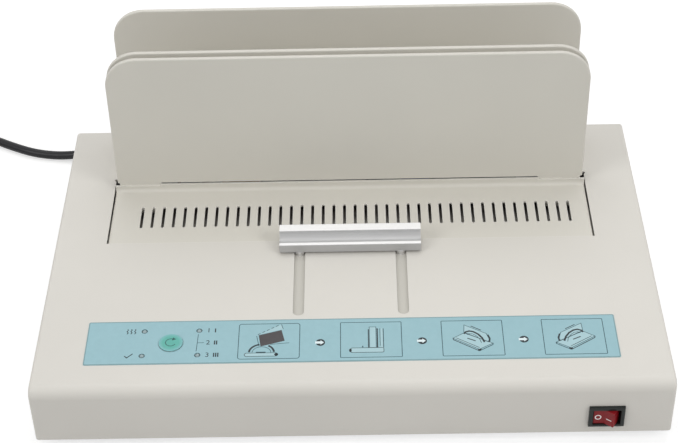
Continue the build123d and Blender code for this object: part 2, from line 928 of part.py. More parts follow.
def hot_plate():
    """The aluminium plate with blind holes for its screws and a bore for the sensor."""
    plate = block(
        around(0, 2 * heater_half), (heater_front, heater_back), (hot_plate_bottom, hot_plate_top)
    )
    blind = (hot_plate_bottom - overrun, hot_plate_bottom + heater_screw_bite)
    plate -= holes(post_places, blind, m4_radius + fit)
    bore = (heater_back - sensor_length, heater_back + overrun)
    level = (hot_plate_bottom + hot_plate_top) / 2
    return plate - along_y(sensor_x, level, bore, sensor_radius + fit)


def heater_tray():
    """The sheet channel under the hot plate stack."""
    z_span = (heater_tray_bottom, insulation_bottom)
    floor = block(
        around(0, 2 * heater_half),
        (heater_front - heater_tray_sheet, heater_back + heater_tray_sheet),
        z_span,
    )
    lips = (heater_front - heater_tray_sheet, heater_front), (heater_back, heater_back + heater_tray_sheet)
    for lip in lips:
        floor += block(
            around(0, 2 * heater_half), lip, (heater_tray_bottom, heater_tray_bottom + heater_tray_lip)
        )
    drilled = floor - holes(post_places, (z_span[0] - overrun, z_span[1] + overrun), m4_radius + hole_gap)
    back_lip = (heater_back - fit, heater_back + heater_tray_sheet + overrun)
    level = (hot_plate_bottom + hot_plate_top) / 2
    drilled -= along_y(sensor_x, level, back_lip, sensor_radius + hole_gap)
    for x in element_tab_x:
        notch = around(x, element_tab_width + 2 * element_tab_gap)
        drilled -= block(notch, back_lip, (element_bottom - element_tab_gap, hot_plate_top))
    return drilled - cutout_hole(z_span)


def heating_element():
    """The flat element between the hot plate and the insulation, with two tabs at the back."""
    z_span = (element_bottom, hot_plate_bottom)
    element = heater_layer(element_inset, z_span)
    reach = (heater_back - element_inset - overrun, heater_back + element_tab_reach)
    for x in element_tab_x:
        element += block(around(x, element_tab_width), reach, z_span)
    return element - cutout_hole(z_span)


def thermal_cutout():
    """A disc thermostat with two blades, pressed against the hot plate."""
    bottom = hot_plate_bottom - cutout_height
    body = upright(cutout_place, (bottom, hot_plate_bottom), cutout_radius)
    for side in side_signs:
        place = (cutout_place[0] + side * cutout_blade_spread / 2, cutout_place[1])
        body += placed_block(place, cutout_blade, bottom - cutout_blade[2])
    return body


def heater_post(place):
    """A ceramic post between the bottom tray and the hot plate stack."""
    z_span = (floor_top, heater_tray_bottom)
    return upright(place, z_span, post_radius) - upright(place, z_span, m4_radius + post_bore_gap)


def make_heater():
    """The hot plate, its element, insulation, tray, posts and sensors."""
    save("hot_plate", hot_plate())
    save("heating_element", heating_element())
    insulation_span = (insulation_bottom, element_bottom)
    save("heater_insulation", heater_layer(0, insulation_span) - cutout_hole(insulation_span))
    save("heater_tray", heater_tray())
    save("heater_posts", *[heater_post(place) for place in post_places])
    length = hot_plate_bottom + heater_screw_bite - fit - cover_bottom
    seats = [(x, y, cover_bottom) for x, y in post_places]
    save("heater_screws", *[m4_screw(seat, (0, 0, 1), length) for seat in seats])
    save("thermal_cutout", thermal_cutout())
    level = (hot_plate_bottom + hot_plate_top) / 2
    reach = (heater_back - sensor_length + fit, heater_back + sensor_tail)
    save("temperature_sensor", along_y(sensor_x, level, reach, sensor_radius))


# Panel


def label_overlay():
    """The printed sheet on the housing's top."""
    sheet = extrude(RectangleRounded(label_width, label_depth, label_corner), amount=label_thickness)
    sheet = Pos(0, label_middle, cover_top) * sheet
    through = (cover_top - overrun, label_top + overrun)
    cuts = holes(led_places, through, led_radius + led_gap)
    return sheet - cuts - upright((button_x, controls_y), through, button_radius + button_gap)


def indicator(place):
    """A round indicator lamp on the control board."""
    tip = label_top + led_stand_out
    lamp = upright(place, (board_top, tip - led_radius), led_radius)
    lamp += Pos(place[0], place[1], tip - led_radius) * Sphere(led_radius)
    return lamp + upright(place, (board_top, board_top + led_flange_height), led_flange_radius)


def select_button():
    """The round key: a disc, a plunger through the housing and a stem in its switch."""
    place = (button_x, controls_y)
    disc_bottom = cover_top + button_clearance + button_travel
    disc = upright(place, (disc_bottom, disc_bottom + button_disc), button_radius)
    disc = fillet(disc.edges().group_by(Axis.Z)[-1], button_edge)
    plunger_bottom = tact_top + button_travel + button_clearance
    disc += upright(place, (plunger_bottom, disc_bottom), plunger_radius)
    return disc + upright(place, (tact_top - stem_reach, plunger_bottom), stem_radius)


def tact_switch():
    """The push switch under the key."""
    place = (button_x, controls_y)
    body = placed_block(place, (tact_side, tact_side, tact_height), board_top)
    return body - upright(place, (tact_top - tact_bore_depth, tact_top + overrun), stem_radius + fit)


def make_panel():
    """The label, the key, the lamps and the control board that hangs from the housing."""
    save("label_overlay", label_overlay())
    save("select_button", select_button())
    save("indicator_leds", *[indicator(place) for place in led_places])
    save("tact_switch", tact_switch())
    board = placed_block((board_x, controls_y), (board_width, board_depth, board_thickness), board_bottom)
    through = (board_bottom - overrun, board_top + overrun)
    save("control_board", board - holes(board_hole_places, through, m3_radius + hole_gap))
    standoffs = []
    for place in board_hole_places:
        post = upright(place, (board_top, ceiling), standoff_radius)
        standoffs.append(post - upright(place, (board_top - overrun, ceiling), m3_radius + fit))
    save("board_standoffs", *standoffs)
    length = board_thickness + board_screw_bite
    screws = [m3_screw((x, y, board_bottom), (0, 0, 1), length) for x, y in board_hole_places]
    save("board_screws", *screws)
    buzzer_place = (board_x + buzzer_offset[0], controls_y + buzzer_offset[1])
    save("buzzer", upright(buzzer_place, (board_bottom - buzzer_height, board_bottom), buzzer_radius))
    chip_place = (board_x + chip_offset[0], controls_y + chip_offset[1])
    save("controller_chip", placed_block(chip_place, chip_size, board_bottom - chip_size[2]))


# Rocker switch


def rocker_button():
    """The rocker with its off end pressed in; it turns about an upright axis."""
    half_window = window_width / 2 - rocker_play
    taper = tan(radians(rocker_tilt))
    rim_half = half_window / cos(radians(rocker_tilt)) - rocker_rim * taper
    outline = [
        (-rim_half, -rocker_rim),
        (0, -rocker_valley),
        (rim_half, -rocker_rim),
        (half_window, 0),
        (rocker_back_width / 2, rocker_back),
        (-rocker_back_width / 2, rocker_back),
        (-half_window, 0),
    ]
    section = make_face(Polyline(*outline, close=True))
    half_height = window_height / 2 - rocker_play
    body = extrude(section, amount=half_height, both=True)
    front = [e for e in body.edges() if e.center().Y < -rocker_valley + fit and e.length < 2 * half_window]
    body = fillet([e for e in front if abs(e.center().X) > fit or abs(e.center().Z) > fit], rocker_edge)
    pin_reach = half_height + rocker_play + pivot_pin_length
    body += upright((0, 0), (-pin_reach, pin_reach), pivot_pin_radius)
    return Pos(switch_x, pivot_y, switch_z) * Rot(0, 0, -rocker_tilt) * body


def switch_housing():
    """The switch body behind the front wall and its bezel in front of it."""
    front = -half_depth
    bezel = block(
        around(switch_x, bezel_width), (front - bezel_thickness, front), around(switch_z, bezel_height)
    )
    bezel = fillet(bezel.faces().sort_by(Axis.Y)[0].edges(), bezel_edge)
    body = block(
        around(switch_x, switch_body_width),
        (front, front + switch_body_depth),
        around(switch_z, switch_body_height),
    )
    room = block(
        around(switch_x, window_width),
        (front - bezel_thickness - overrun, front + switch_body_depth - switch_floor),
        around(switch_z, window_height),
    )
    pin_reach = window_height / 2 + pivot_pin_length + fit
    pin = (switch_z - pin_reach, switch_z + pin_reach)
    return bezel + body - room - upright((switch_x, pivot_y), pin, pivot_pin_radius + fit)


def make_switch():
    """The rocker switch: body, rocker and terminals."""
    save("switch_housing", switch_housing())
    save("rocker_button", rocker_button())
    back = -half_depth + switch_body_depth
    blades = []
    for step in (-1, 0, 1):
        x_span = around(switch_x + step * blade_spread, blade_size[0])
        blades.append(block(x_span, (back, back + blade_size[1]), around(switch_z, blade_size[2])))
    save("switch_terminals", *blades)


# Power board


def on_power_board(shares):
    """A place on the power board, from shares of its width and depth."""
    return (power_board_x + shares[0] * power_board_width, power_board_y + shares[1] * power_board_depth)


def board_support(place):
    """A nylon support that snaps into the tray and the board."""
    body = upright(place, (floor_top, power_board_bottom), support_radius)
    pins = (cover_bottom - support_pin_reach, power_board_top + support_pin_reach)
    return body + upright(place, pins, support_pin_radius)


def fuse_clips(fuse_place, axis_height):
    """Two clips that hold the fuse by its ends."""
    clips = []
    for side in side_signs:
        place = (fuse_place[0] + side * (fuse_length - clip_size[0]) / 2, fuse_place[1])
        clip = placed_block(place, clip_size, power_board_top)
        reach = clip_size[0] + overrun
        bore = Plane(origin=(place[0], place[1], axis_height), z_dir=(1, 0, 0))
        clips.append(clip - bore * Cylinder(fuse_radius + fit, reach))
    return clips


def terminal_block():
    """A screw terminal block with its row of screw wells."""
    place = on_power_board(terminal_place_shares)
    body = placed_block(place, terminal_size, power_board_top)
    top = power_board_top + terminal_size[2]
    step = terminal_size[0] / terminal_count
    for index in range(terminal_count):
        x = place[0] + (index - (terminal_count - 1) / 2) * step
        body -= upright((x, place[1]), (top - terminal_hole_depth, top + overrun), terminal_hole_radius)
    return body


def make_power_board():
    """The board with the relay, the fuse and the terminals, behind the hot plate."""
    centre = (power_board_x, power_board_y)
    size = (power_board_width, power_board_depth, board_thickness)
    board = placed_block(centre, size, power_board_bottom)
    through = (power_board_bottom - overrun, power_board_top + overrun)
    save("power_board", board - holes(support_places, through, support_pin_radius + fit))
    save("board_supports", *[board_support(place) for place in support_places])
    save("relay", placed_block(on_power_board(relay_place_shares), relay_size, power_board_top))
    fuse_place = on_power_board(fuse_place_shares)
    axis_height = power_board_top + fuse_lift
    fuse_axis = Plane(origin=(fuse_place[0], fuse_place[1], axis_height), z_dir=(1, 0, 0))
    save("fuse", fuse_axis * Cylinder(fuse_radius, fuse_length))
    save("fuse_clips", *fuse_clips(fuse_place, axis_height))
    save("terminal_block", terminal_block())


# Transformer


def transformer_core():
    """The laminated core with its two windows and two mounting feet."""
    x_span = around(transformer_x, core_width)
    y_span = around(power_board_y, core_depth)
    core = block(x_span, y_span, (floor_top, floor_top + core_height))
    window = ((core_width - core_leg) / 2 - core_side, core_height - 2 * core_side)
    for side in side_signs:
        middle = transformer_x + side * (core_leg + window[0]) / 2
        through = around(power_board_y, core_depth + overrun)
        opening_z = (floor_top + core_side, floor_top + core_side + window[1])
        core -= block(around(middle, window[0]), through, opening_z)
        foot = block(
            around(transformer_x + side * (core_width + transformer_foot) / 2, transformer_foot),
            y_span,
            (floor_top, floor_top + transformer_foot_sheet),
        )
        core += foot
    through = (floor_top - overrun, floor_top + transformer_foot_sheet + overrun)
    return core - holes(transformer_screw_places, through, m4_radius + hole_gap)


def transformer_winding():
    """The winding round the core's middle leg."""
    z_span = (floor_top + core_side + running_gap, floor_top + core_height - core_side - running_gap)
    outer = block(
        around(transformer_x, core_leg + 2 * winding_wall),
        around(power_board_y, core_depth + 2 * winding_end),
        z_span,
    )
    inner = block(
        around(transformer_x, core_leg + 2 * fit),
        around(power_board_y, core_depth + 2 * fit),
        (z_span[0] - overrun, z_span[1] + overrun),
    )
    return outer - inner


def make_transformer():
    """The small supply transformer."""
    save("transformer_core", transformer_core())
    save("transformer_winding", transformer_winding())


# Mains entry and inner wires


def bushing_elbow():
    """The bushing's centre line from the flange round to the start of its taper."""
    start = Vector(cord_exit_x, half_depth + bushing_flange + bushing_lead, cord_exit_height)
    turn = bushing_turn_share * pi / 2
    aside = bushing_elbow_radius * (cos(turn) - 1)
    joint = start + Vector(aside, bushing_elbow_radius * sin(turn), 0)
    return Edge.make_tangent_arc(start, Vector(0, 1, 0), joint)


def cord_bushing():
    """The bushing in the back wall, turned aside and tapered towards the cord."""
    exit_place = (cord_exit_x, cord_exit_height)
    inner_end = half_depth - cover_sheet - bushing_inside
    elbow = bushing_elbow()
    neck = along_y(*exit_place, (inner_end, (elbow @ 0).Y), bushing_neck_radius)
    flange_span = (half_depth, half_depth + bushing_flange)
    flange = along_y(*exit_place, flange_span, bushing_flange_radius)
    foot = (Align.CENTER, Align.CENTER, Align.MIN)
    taper = Cone(bushing_neck_radius, bushing_tip_radius, bushing_taper, align=foot)
    taper = Plane(origin=elbow @ 1, z_dir=elbow % 1) * taper
    return neck + flange + tube(elbow, bushing_neck_radius) + taper


def placed_route():
    """The route of the cord's free stretch, from the bushing's tip."""
    elbow = bushing_elbow()
    tip = elbow @ 1 + elbow % 1 * bushing_taper
    return [(tip.X + x, tip.Y + y, height) for x, y, height in cord_route]


def wire_tube(points, radius):
    """A wire along straight runs joined by arcs, each as large as its runs allow."""
    return tube(rounded_route(points), radius)


def tube(path, radius):
    """A round tube along a path."""
    return sweep(Plane(origin=path @ 0, z_dir=path % 0) * Circle(radius), path=path)


def rounded_route(points):
    """Straight runs joined by tangent arcs, with the largest radius that the runs allow."""
    path = [Vector(*point) for point in points]
    runs = [end - start for start, end in zip(path, path[1:])]
    radii = []
    for first, second in zip(runs, runs[1:]):
        half_turn = radians(first.get_angle(second)) / 2
        radii.append(bend_share * min(first.length, second.length) / tan(half_turn))
    print("bend radii", [round(radius, 1) for radius in radii])
    return FilletPolyline(*path, radius=radii)


def terminal_wire_end(share, shift):
    """Where a wire meets the terminal block's back face."""
    place = on_power_board(terminal_place_shares)
    x = place[0] + share * terminal_size[0] + shift
    return (x, place[1] + terminal_size[1] / 2, power_board_top + wire_entry_height)


def supply_wires():
    """Two wires from the bushing to the terminal block, and the earth wire to its lug."""
    inner_end = half_depth - cover_sheet - bushing_inside
    low = floor_top + wire_lane_height
    wires = []
    for side in side_signs:
        shift = side * wire_pair_step / 2
        x, back_face, level = terminal_wire_end(terminal_wire_shares[0], shift)
        points = [
            (cord_exit_x + shift, inner_end, cord_exit_height),
            (cord_exit_x + shift, inner_end - wire_start, cord_exit_height),
            (cord_exit_x + lane_turn_step + shift, front_lane_y + shift, low),
            (lane_turn_x[0] + shift, front_lane_y + shift, low),
            (lane_turn_x[1] + shift, back_lane_y + shift, low),
            (x, back_lane_y + shift, low),
            (x, back_lane_y + shift, level),
            (x, back_face, level),
        ]
        wires.append(wire_tube(points, wire_radius))
    height = cord_exit_height + earth_wire_rise
    tail_x = earth_screw_place[0] + lug_tail[0]
    lug_top = floor_top + lug_sheet
    points = [
        (cord_exit_x, inner_end, height),
        (cord_exit_x, inner_end - wire_start, height),
        (tail_x, earth_screw_place[1] + wire_start, height),
        (tail_x, earth_screw_place[1], height - wire_start),
        (tail_x, earth_screw_place[1], lug_top),
    ]
    wires.append(wire_tube(points, wire_radius))
    return wires


def switch_wires():
    """Two wires from the terminal block round the right side to the rocker switch."""
    blade_end = -half_depth + switch_body_depth + blade_size[1]
    wires = []
    for side, blade_x in ((1, switch_x), (-1, switch_x + blade_spread)):
        shift = side * wire_pair_step / 2
        x, back_face, level = terminal_wire_end(terminal_wire_shares[1], shift)
        points = [
            (x, back_face, level),
            (x, back_lane_y - shift, level),
            (side_lane_x - shift, back_lane_y - shift, level),
            (side_lane_x - shift, switch_lane_y + shift, switch_z),
            (blade_x, switch_lane_y + shift, switch_z),
            (blade_x, blade_end, switch_z),
        ]
        wires.append(wire_tube(points, wire_radius))
    return wires


def heater_wires():
    """Two wires from the element's tabs down to the power board."""
    tab_end = heater_back + element_tab_reach
    level = (element_bottom + hot_plate_bottom) / 2
    return [
        wire_tube(
            [(x, tab_end, level), (x, heater_wire_y, level), (x, heater_wire_y, power_board_top)],
            wire_radius,
        )
        for x in element_tab_x
    ]


def panel_cable():
    """The cable from the control board, under the hot plate, to the power board."""
    low = floor_top + wire_lane_height
    last_x, last_y = cable_lane_x[-1], cable_lane_y[-1]
    arch = power_board_top + cable_arch
    points = [(*cable_start, board_bottom), (*cable_start, low)]
    points += [(x, y, low) for x, y in zip(cable_lane_x, cable_lane_y)]
    points += [(last_x, last_y, arch), (cable_end_x, last_y, arch), (cable_end_x, last_y, power_board_top)]
    return wire_tube(points, cable_radius)


def make_wires():
    """The wires that the housing holds."""
    save("supply_wires", *supply_wires())
    save("switch_wires", *switch_wires())
    save("heater_wires", *heater_wires())
    save("panel_cable", panel_cable())


def make_mains_entry():
    """The bushing and the earth lug."""
    save("cord_bushing", cord_bushing())
    x, y = earth_screw_place
    level = (floor_top, floor_top + lug_sheet)
    lug = upright(earth_screw_place, level, lug_radius)
    lug += block((x, x + lug_tail[0] + lug_tail[1] / 2), around(y, lug_tail[1]), level)
    save("earth_lug", lug - upright(earth_screw_place, (0, cover_top), m4_radius + fit))


# Mains cord


def biarc(start, start_way, end, end_way):
    """Two tangent arcs from one point and heading to another."""
    chord = end - start
    ways = start_way + end_way
    steep = 2 * (start_way.dot(end_way) - 1)
    linear = -2 * chord.dot(ways)
    square = chord.dot(chord)
    root = sqrt(linear * linear - 4 * steep * square)
    reach = (-linear - root) / (2 * steep)
    near = start + start_way * reach
    far = end - end_way * reach
    joint = (near + far) / 2
    return [
        Edge.make_tangent_arc(start, start_way, joint),
        Edge.make_tangent_arc(joint, far - near, end),
    ]


def coil_point(turns):
    """A point of the coil's centre line, and of its steady spiral in and out."""
    climb_end = coil_spiral_turns + coil_climb_turns
    if turns < coil_spiral_turns:
        radius = coil_inner_radius + coil_pitch * (coil_spiral_turns - turns)
        rise = 0
    elif turns < climb_end:
        share = (turns - coil_spiral_turns) / coil_climb_turns
        radius = coil_inner_radius - coil_climb_dip * sin(pi * share)
        rise = coil_pitch * (1 - cos(pi * share)) / 2
    else:
        radius = coil_inner_radius + coil_pitch * (turns - climb_end)
        rise = coil_pitch
    angle = 2 * pi * turns
    return Vector(radius * cos(angle), radius * sin(angle), cord_radius + rise)


def coil_way(turns):
    """The coil's heading at a point, from points close before and behind it."""
    step = fit * coil_climb_turns
    return (coil_point(turns + step) - coil_point(turns - step)).normalized()


def coil_path():
    """The coil's centre line in its own frame, from its outer end on the floor to its upper end."""
    all_turns = coil_spiral_turns + coil_climb_turns + coil_return_turns
    count = round(all_turns * coil_stations)
    stations = [all_turns * index / count for index in range(count + 1)]
    points = [coil_point(turns) for turns in stations]
    ways = [coil_way(turns) for turns in stations]
    for index in (0, -1):
        ways[index] = Vector(ways[index].X, ways[index].Y, 0).normalized()
    edges = [Edge.make_line(points[0] - ways[0] * coil_entry_lead, points[0])]
    for index in range(count):
        edges += biarc(points[index], ways[index], points[index + 1], ways[index + 1])
    edges.append(Edge.make_line(points[-1], points[-1] + ways[-1] * coil_exit_lead))
    return Wire(edges)


def least_self_gap(path, radius):
    """The least gap of a tube to itself, measured on points along its centre line."""
    count = round(path.length / coil_gap_step)
    points = [path @ (index / count) for index in range(count + 1)]
    skip = round(coil_neighbour_share * 2 * radius / coil_gap_step)
    gaps = [
        (points[late] - points[early]).length - 2 * radius
        for early in range(len(points))
        for late in range(early + skip, len(points))
    ]
    return min(gaps)


def coil_frame():
    """Where the coil lies: its outer end goes on from the route's last point."""
    path = coil_path()
    begin, way = path @ 0, path % 0
    heading = Vector(coil_heading[0], coil_heading[1], 0)
    turn = Vector(way.X, way.Y, 0).get_signed_angle(heading, Vector(0, 0, 1))
    turned = Rot(0, 0, turn)
    moved = turned * Pos(begin.X, begin.Y, 0)
    target = Vector(*placed_route()[-1])
    shift = target - Vector(moved.position.X, moved.position.Y, target.Z)
    return Pos(shift.X, shift.Y, 0) * turned


def plug_parts(place):
    """The moulded plug lying on its side, and its three flat pins."""
    axis = cord_radius + coil_pitch
    foot = (Align.CENTER, Align.CENTER, Align.MIN)
    nose = Cone(plug_nose_tip, plug_nose_radius, plug_nose_length, align=foot)
    nose = Plane(origin=(0, 0, axis), z_dir=(1, 0, 0)) * nose
    reach = (plug_nose_length, plug_nose_length + plug_length)
    body = fillet(block(reach, around(0, plug_width), (0, plug_height)).edges(), plug_edge)
    body = nose + body
    face = reach[1]
    middle = plug_height / 2
    pins = []
    for side in side_signs:
        blade = block((face, face + pin_length), around(0, pin_thickness), around(0, pin_width))
        slanted = Pos(0, side * pin_spread, middle + pin_rise) * Rot(side * pin_slant, 0, 0)
        pins.append(slanted * blade)
    earth_height = around(middle - earth_pin_drop, pin_width)
    pins.append(block((face, face + earth_pin_length), around(0, pin_thickness), earth_height))
    return place * body, [place * pin for pin in pins]


def make_cord():
    """The mains cord: its free stretch, its coil and its plug."""
    route = rounded_route(placed_route())
    free = tube(route, cord_radius)
    section = pi * cord_radius * cord_radius
    print("cord volume over section times length", free.volume / (section * route.length))
    save("power_cord", free)
    frame = coil_frame()
    path = coil_path()
    print("coil's least gap to itself", round(least_self_gap(path, cord_radius), 2))
    print("cord length", round(route.length + path.length))
    save("cord_coil", frame * tube(path, cord_radius))
    end, way = path @ 1, path % 1
    turn = Vector(1, 0, 0).get_signed_angle(Vector(way.X, way.Y, 0), Vector(0, 0, 1))
    body, pins = plug_parts(frame * Pos(end.X, end.Y, 0) * Rot(0, 0, turn))
    save("plug_body", body)
    save("plug_pins", *pins)


make_housing()
make_fixed_plates()
make_carriage()
make_guides()
make_heater()
make_panel()
make_switch()
make_power_board()
make_transformer()
make_mains_entry()
make_wires()
make_cord()
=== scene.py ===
"""The looks of a thermal binding machine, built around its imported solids.

The frame is in metres, X right, Y back, Z up. The sizes and places of the prints, the marks, the
strain relief and the cord are given in millimetres and scaled by MM.
"""

import json
import math

import bmesh
import bpy
from mathutils import Matrix, Vector


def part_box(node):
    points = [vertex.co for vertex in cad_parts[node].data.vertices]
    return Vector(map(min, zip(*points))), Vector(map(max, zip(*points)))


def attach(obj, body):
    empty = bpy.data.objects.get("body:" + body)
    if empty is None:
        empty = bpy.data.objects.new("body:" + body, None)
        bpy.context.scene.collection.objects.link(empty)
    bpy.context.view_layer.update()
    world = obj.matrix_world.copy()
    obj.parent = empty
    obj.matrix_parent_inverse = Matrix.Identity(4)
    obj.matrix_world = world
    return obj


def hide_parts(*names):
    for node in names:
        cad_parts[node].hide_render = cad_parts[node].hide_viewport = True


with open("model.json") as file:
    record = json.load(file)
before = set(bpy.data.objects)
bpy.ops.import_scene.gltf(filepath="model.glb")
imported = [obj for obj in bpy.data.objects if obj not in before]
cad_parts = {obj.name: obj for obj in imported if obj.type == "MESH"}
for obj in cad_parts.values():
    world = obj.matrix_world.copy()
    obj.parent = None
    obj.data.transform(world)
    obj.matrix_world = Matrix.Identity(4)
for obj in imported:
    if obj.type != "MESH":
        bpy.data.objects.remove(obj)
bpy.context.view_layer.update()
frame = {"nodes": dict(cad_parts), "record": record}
MM = 0.001


# Colours and nodes


def linear(red, green, blue):
    """A colour given as it looks on a screen, 0 to 255, in the renderer's units."""
    def one(value):
        share = value / 255
        return share / 12.92 if share <= 0.04045 else ((share + 0.055) / 1.055) ** 2.4
    return (one(red), one(green), one(blue), 1.0)


def grey(level):
    """A neutral colour in the renderer's units."""
    return (level, level, level, 1.0)


def shade(colour, factor):
    """A colour made lighter or darker."""
    return tuple(min(1.0, channel * factor) for channel in colour[:3]) + (1.0,)


def put(tree, target, value):
    """Gives an input a value, or links a socket to it."""
    if isinstance(value, bpy.types.NodeSocket):
        tree.links.new(value, target)
    else:
        target.default_value = value


def calculate(tree, operation, first, second):
    """The result of a sum on two values; each may be a socket."""
    node = tree.nodes.new("ShaderNodeMath")
    node.operation = operation
    put(tree, node.inputs[0], first)
    put(tree, node.inputs[1], second)
    return node.outputs[0]


# Camera: solved from the straight edges of the housing and the plates. Angles are in radians

IMAGE_WIDTH = 679
FOCAL_PIXELS = 1691.709
SENSOR_MM = 36
CAMERA_PLACE = (0.006662, -0.821766, 0.753859)
CAMERA_PITCH = 0.695
CAMERA_YAW = -0.016
CAMERA_ROLL = -0.027
CAMERA_CLIP = 0.01


def make_camera():
    """The camera that sees the machine as the photograph does."""
    pitch, yaw, roll = CAMERA_PITCH, CAMERA_YAW, CAMERA_ROLL
    forward = Vector(
        (math.sin(yaw) * math.cos(pitch), math.cos(yaw) * math.cos(pitch), -math.sin(pitch))
    )
    right = Vector((math.cos(yaw), -math.sin(yaw), 0))
    up = right.cross(forward)
    right_rolled = math.cos(roll) * right + math.sin(roll) * up
    up_rolled = -math.sin(roll) * right + math.cos(roll) * up
    turn = Matrix((right_rolled, up_rolled, -forward)).transposed().to_4x4()
    data = bpy.data.cameras.new("camera")
    data.sensor_fit = "HORIZONTAL"
    data.sensor_width = SENSOR_MM
    data.lens = FOCAL_PIXELS * SENSOR_MM / IMAGE_WIDTH
    data.clip_start = CAMERA_CLIP
    camera = bpy.data.objects.new("camera", data)
    camera.matrix_world = Matrix.Translation(CAMERA_PLACE) @ turn
    bpy.context.scene.collection.objects.link(camera)
    bpy.context.scene.camera = camera


# Light and floor. Each lamp has a name, a place, a size across and a power

WHITE = grey(1.0)
WORLD_COLOUR = (1.0, 0.995, 0.99, 1)
WORLD_STRENGTH = 0.38
LAMP_AIM = (0.0, 0.0, 0.05)
LAMPS = (
    ("overhead", (0.0, 0.7, 1.85), 1.9, 13.8),
    ("left", (-1.3, -0.85, 1.2), 1.0, 9.0),
    ("right", (1.3, -0.85, 1.2), 1.0, 9.8),
)
FLOOR_SIDE = 8.0
FLOOR_COLOUR = grey(0.62)
FLOOR_ROUGHNESS = 0.9
FLOOR_SHINE = 0.1
FLOOR_GLOW = 0.55


def seen_rays(tree):
    """1 for a ray that shows the background: from the camera, a gloss or through glass."""
    path = tree.nodes.new("ShaderNodeLightPath").outputs
    straight = calculate(tree, "MAXIMUM", path["Is Camera Ray"], path["Is Glossy Ray"])
    return calculate(tree, "MAXIMUM", straight, path["Is Transmission Ray"])


def make_world():
    """An even, plain light from all sides; the background itself is white."""
    world = bpy.data.worlds.new("studio")
    bpy.context.scene.world = world
    world.use_nodes = True
    tree = world.node_tree
    tree.nodes.clear()
    mix = tree.nodes.new("ShaderNodeMixShader")
    put(tree, mix.inputs[0], seen_rays(tree))
    lights = ((WORLD_COLOUR, WORLD_STRENGTH), (WHITE, 1.0))
    for target, (colour, strength) in zip(mix.inputs[1:], lights):
        light = tree.nodes.new("ShaderNodeBackground")
        put(tree, light.inputs["Color"], colour)
        put(tree, light.inputs["Strength"], strength)
        put(tree, target, light.outputs[0])
    out = tree.nodes.new("ShaderNodeOutputWorld")
    put(tree, out.inputs["Surface"], mix.outputs[0])


def make_floor():
    """A pale floor that keeps the soft shadow and shows as white."""
    bpy.ops.mesh.primitive_plane_add(size=FLOOR_SIDE, location=(0, 0, 0))
    floor = bpy.context.object
    floor.name = "floor"
    recipe = Recipe("floor", FLOOR_COLOUR, FLOOR_ROUGHNESS)
    recipe.give("Specular IOR Level", FLOOR_SHINE)
    recipe.give("Emission Color", WHITE)
    glow = calculate(recipe.tree, "MULTIPLY", seen_rays(recipe.tree), FLOOR_GLOW)
    recipe.give("Emission Strength", glow)
    floor.data.materials.append(recipe.material)


def make_lamps():
    """Large soft lamps: one overhead and one on each side in front."""
    for name, place, size, power in LAMPS:
        data = bpy.data.lights.new(name, "AREA")
        data.shape = "DISK"
        data.size = size
        data.energy = power
        lamp = bpy.data.objects.new(name, data)
        lamp.location = place
        way = Vector(LAMP_AIM) - Vector(place)
        lamp.rotation_euler = way.to_track_quat("-Z", "Y").to_euler()
        bpy.context.scene.collection.objects.link(lamp)


# Materials


class Recipe:
    """A material's node tree, with short ways to add the usual nodes."""

    def __init__(self, name, colour, roughness, metallic=0.0):
        self.material = bpy.data.materials.new(name)
        self.material.use_nodes = True
        self.tree = self.material.node_tree
        self.shader = self.tree.nodes["Principled BSDF"]
        self.give("Base Color", colour)
        self.give("Roughness", roughness)
        self.give("Metallic", metallic)
        self.place = self.tree.nodes.new("ShaderNodeTexCoord").outputs["Object"]

    def give(self, name, value):
        """Sets one of the shader's inputs, or links a socket to it."""
        put(self.tree, self.shader.inputs[name], value)

    def add(self, kind, **values):
        """A new node with its inputs set or linked."""
        node = self.tree.nodes.new("ShaderNode" + kind)
        for name, value in values.items():
            put(self.tree, node.inputs[name.replace("_", " ")], value)
        return node

    def noise(self, scale, detail=2.0, stretch=None):
        """A noise from 0 to 1, stretched along an axis where that is given."""
        place = self.place
        if stretch:
            place = self.add("Mapping", Scale=stretch, Vector=place).outputs["Vector"]
        return self.add("TexNoise", Scale=scale, Detail=detail, Vector=place).outputs["Fac"]

    def spread(self, source, low, high, start=0.3, end=0.7):
        """A value of start to end, spread over low to high."""
        values = {"From_Min": start, "From_Max": end, "To_Min": low, "To_Max": high}
        return self.add("MapRange", Value=source, **values).outputs["Result"]

    def mix(self, factor, first, second):
        """A mix of two colours; each may be a socket."""
        node = self.tree.nodes.new("ShaderNodeMix")
        node.data_type = "RGBA"
        put(self.tree, node.inputs["Factor"], factor)
        colours = [i for i in node.inputs if i.type == "RGBA"]
        put(self.tree, colours[0], first)
        put(self.tree, colours[1], second)
        return [o for o in node.outputs if o.type == "RGBA"][0]

    def axis(self, source, name):
        """One coordinate of a vector."""
        return self.add("SeparateXYZ", Vector=source).outputs[name]

    def bump(self, height, strength, distance):
        """A bump that follows a height."""
        node = self.add("Bump", Strength=strength, Distance=distance, Height=height)
        self.give("Normal", node.outputs["Normal"])

    def edges(self, radius, low, high):
        """1 along the edges and 0 on the faces, from how far a rounded edge's normal would turn."""
        bevel = self.add("Bevel", Radius=radius)
        bevel.samples = 4
        flat = self.add("NewGeometry")
        dot = self.tree.nodes.new("ShaderNodeVectorMath")
        dot.operation = "DOT_PRODUCT"
        put(self.tree, dot.inputs[0], bevel.outputs["Normal"])
        put(self.tree, dot.inputs[1], flat.outputs["Normal"])
        return self.spread(dot.outputs["Value"], 1.0, 0.0, low, high)

    def varied(self, noise, low, high, first, second):
        """A tone that a noise takes from the first colour to the second; each may be a socket."""
        return self.mix(self.spread(noise, low, high), first, second)

    def paint_with(self, colour, roughness):
        """Sends a colour and a roughness to the shader."""
        self.give("Base Color", colour)
        self.give("Roughness", roughness)
        return self.material


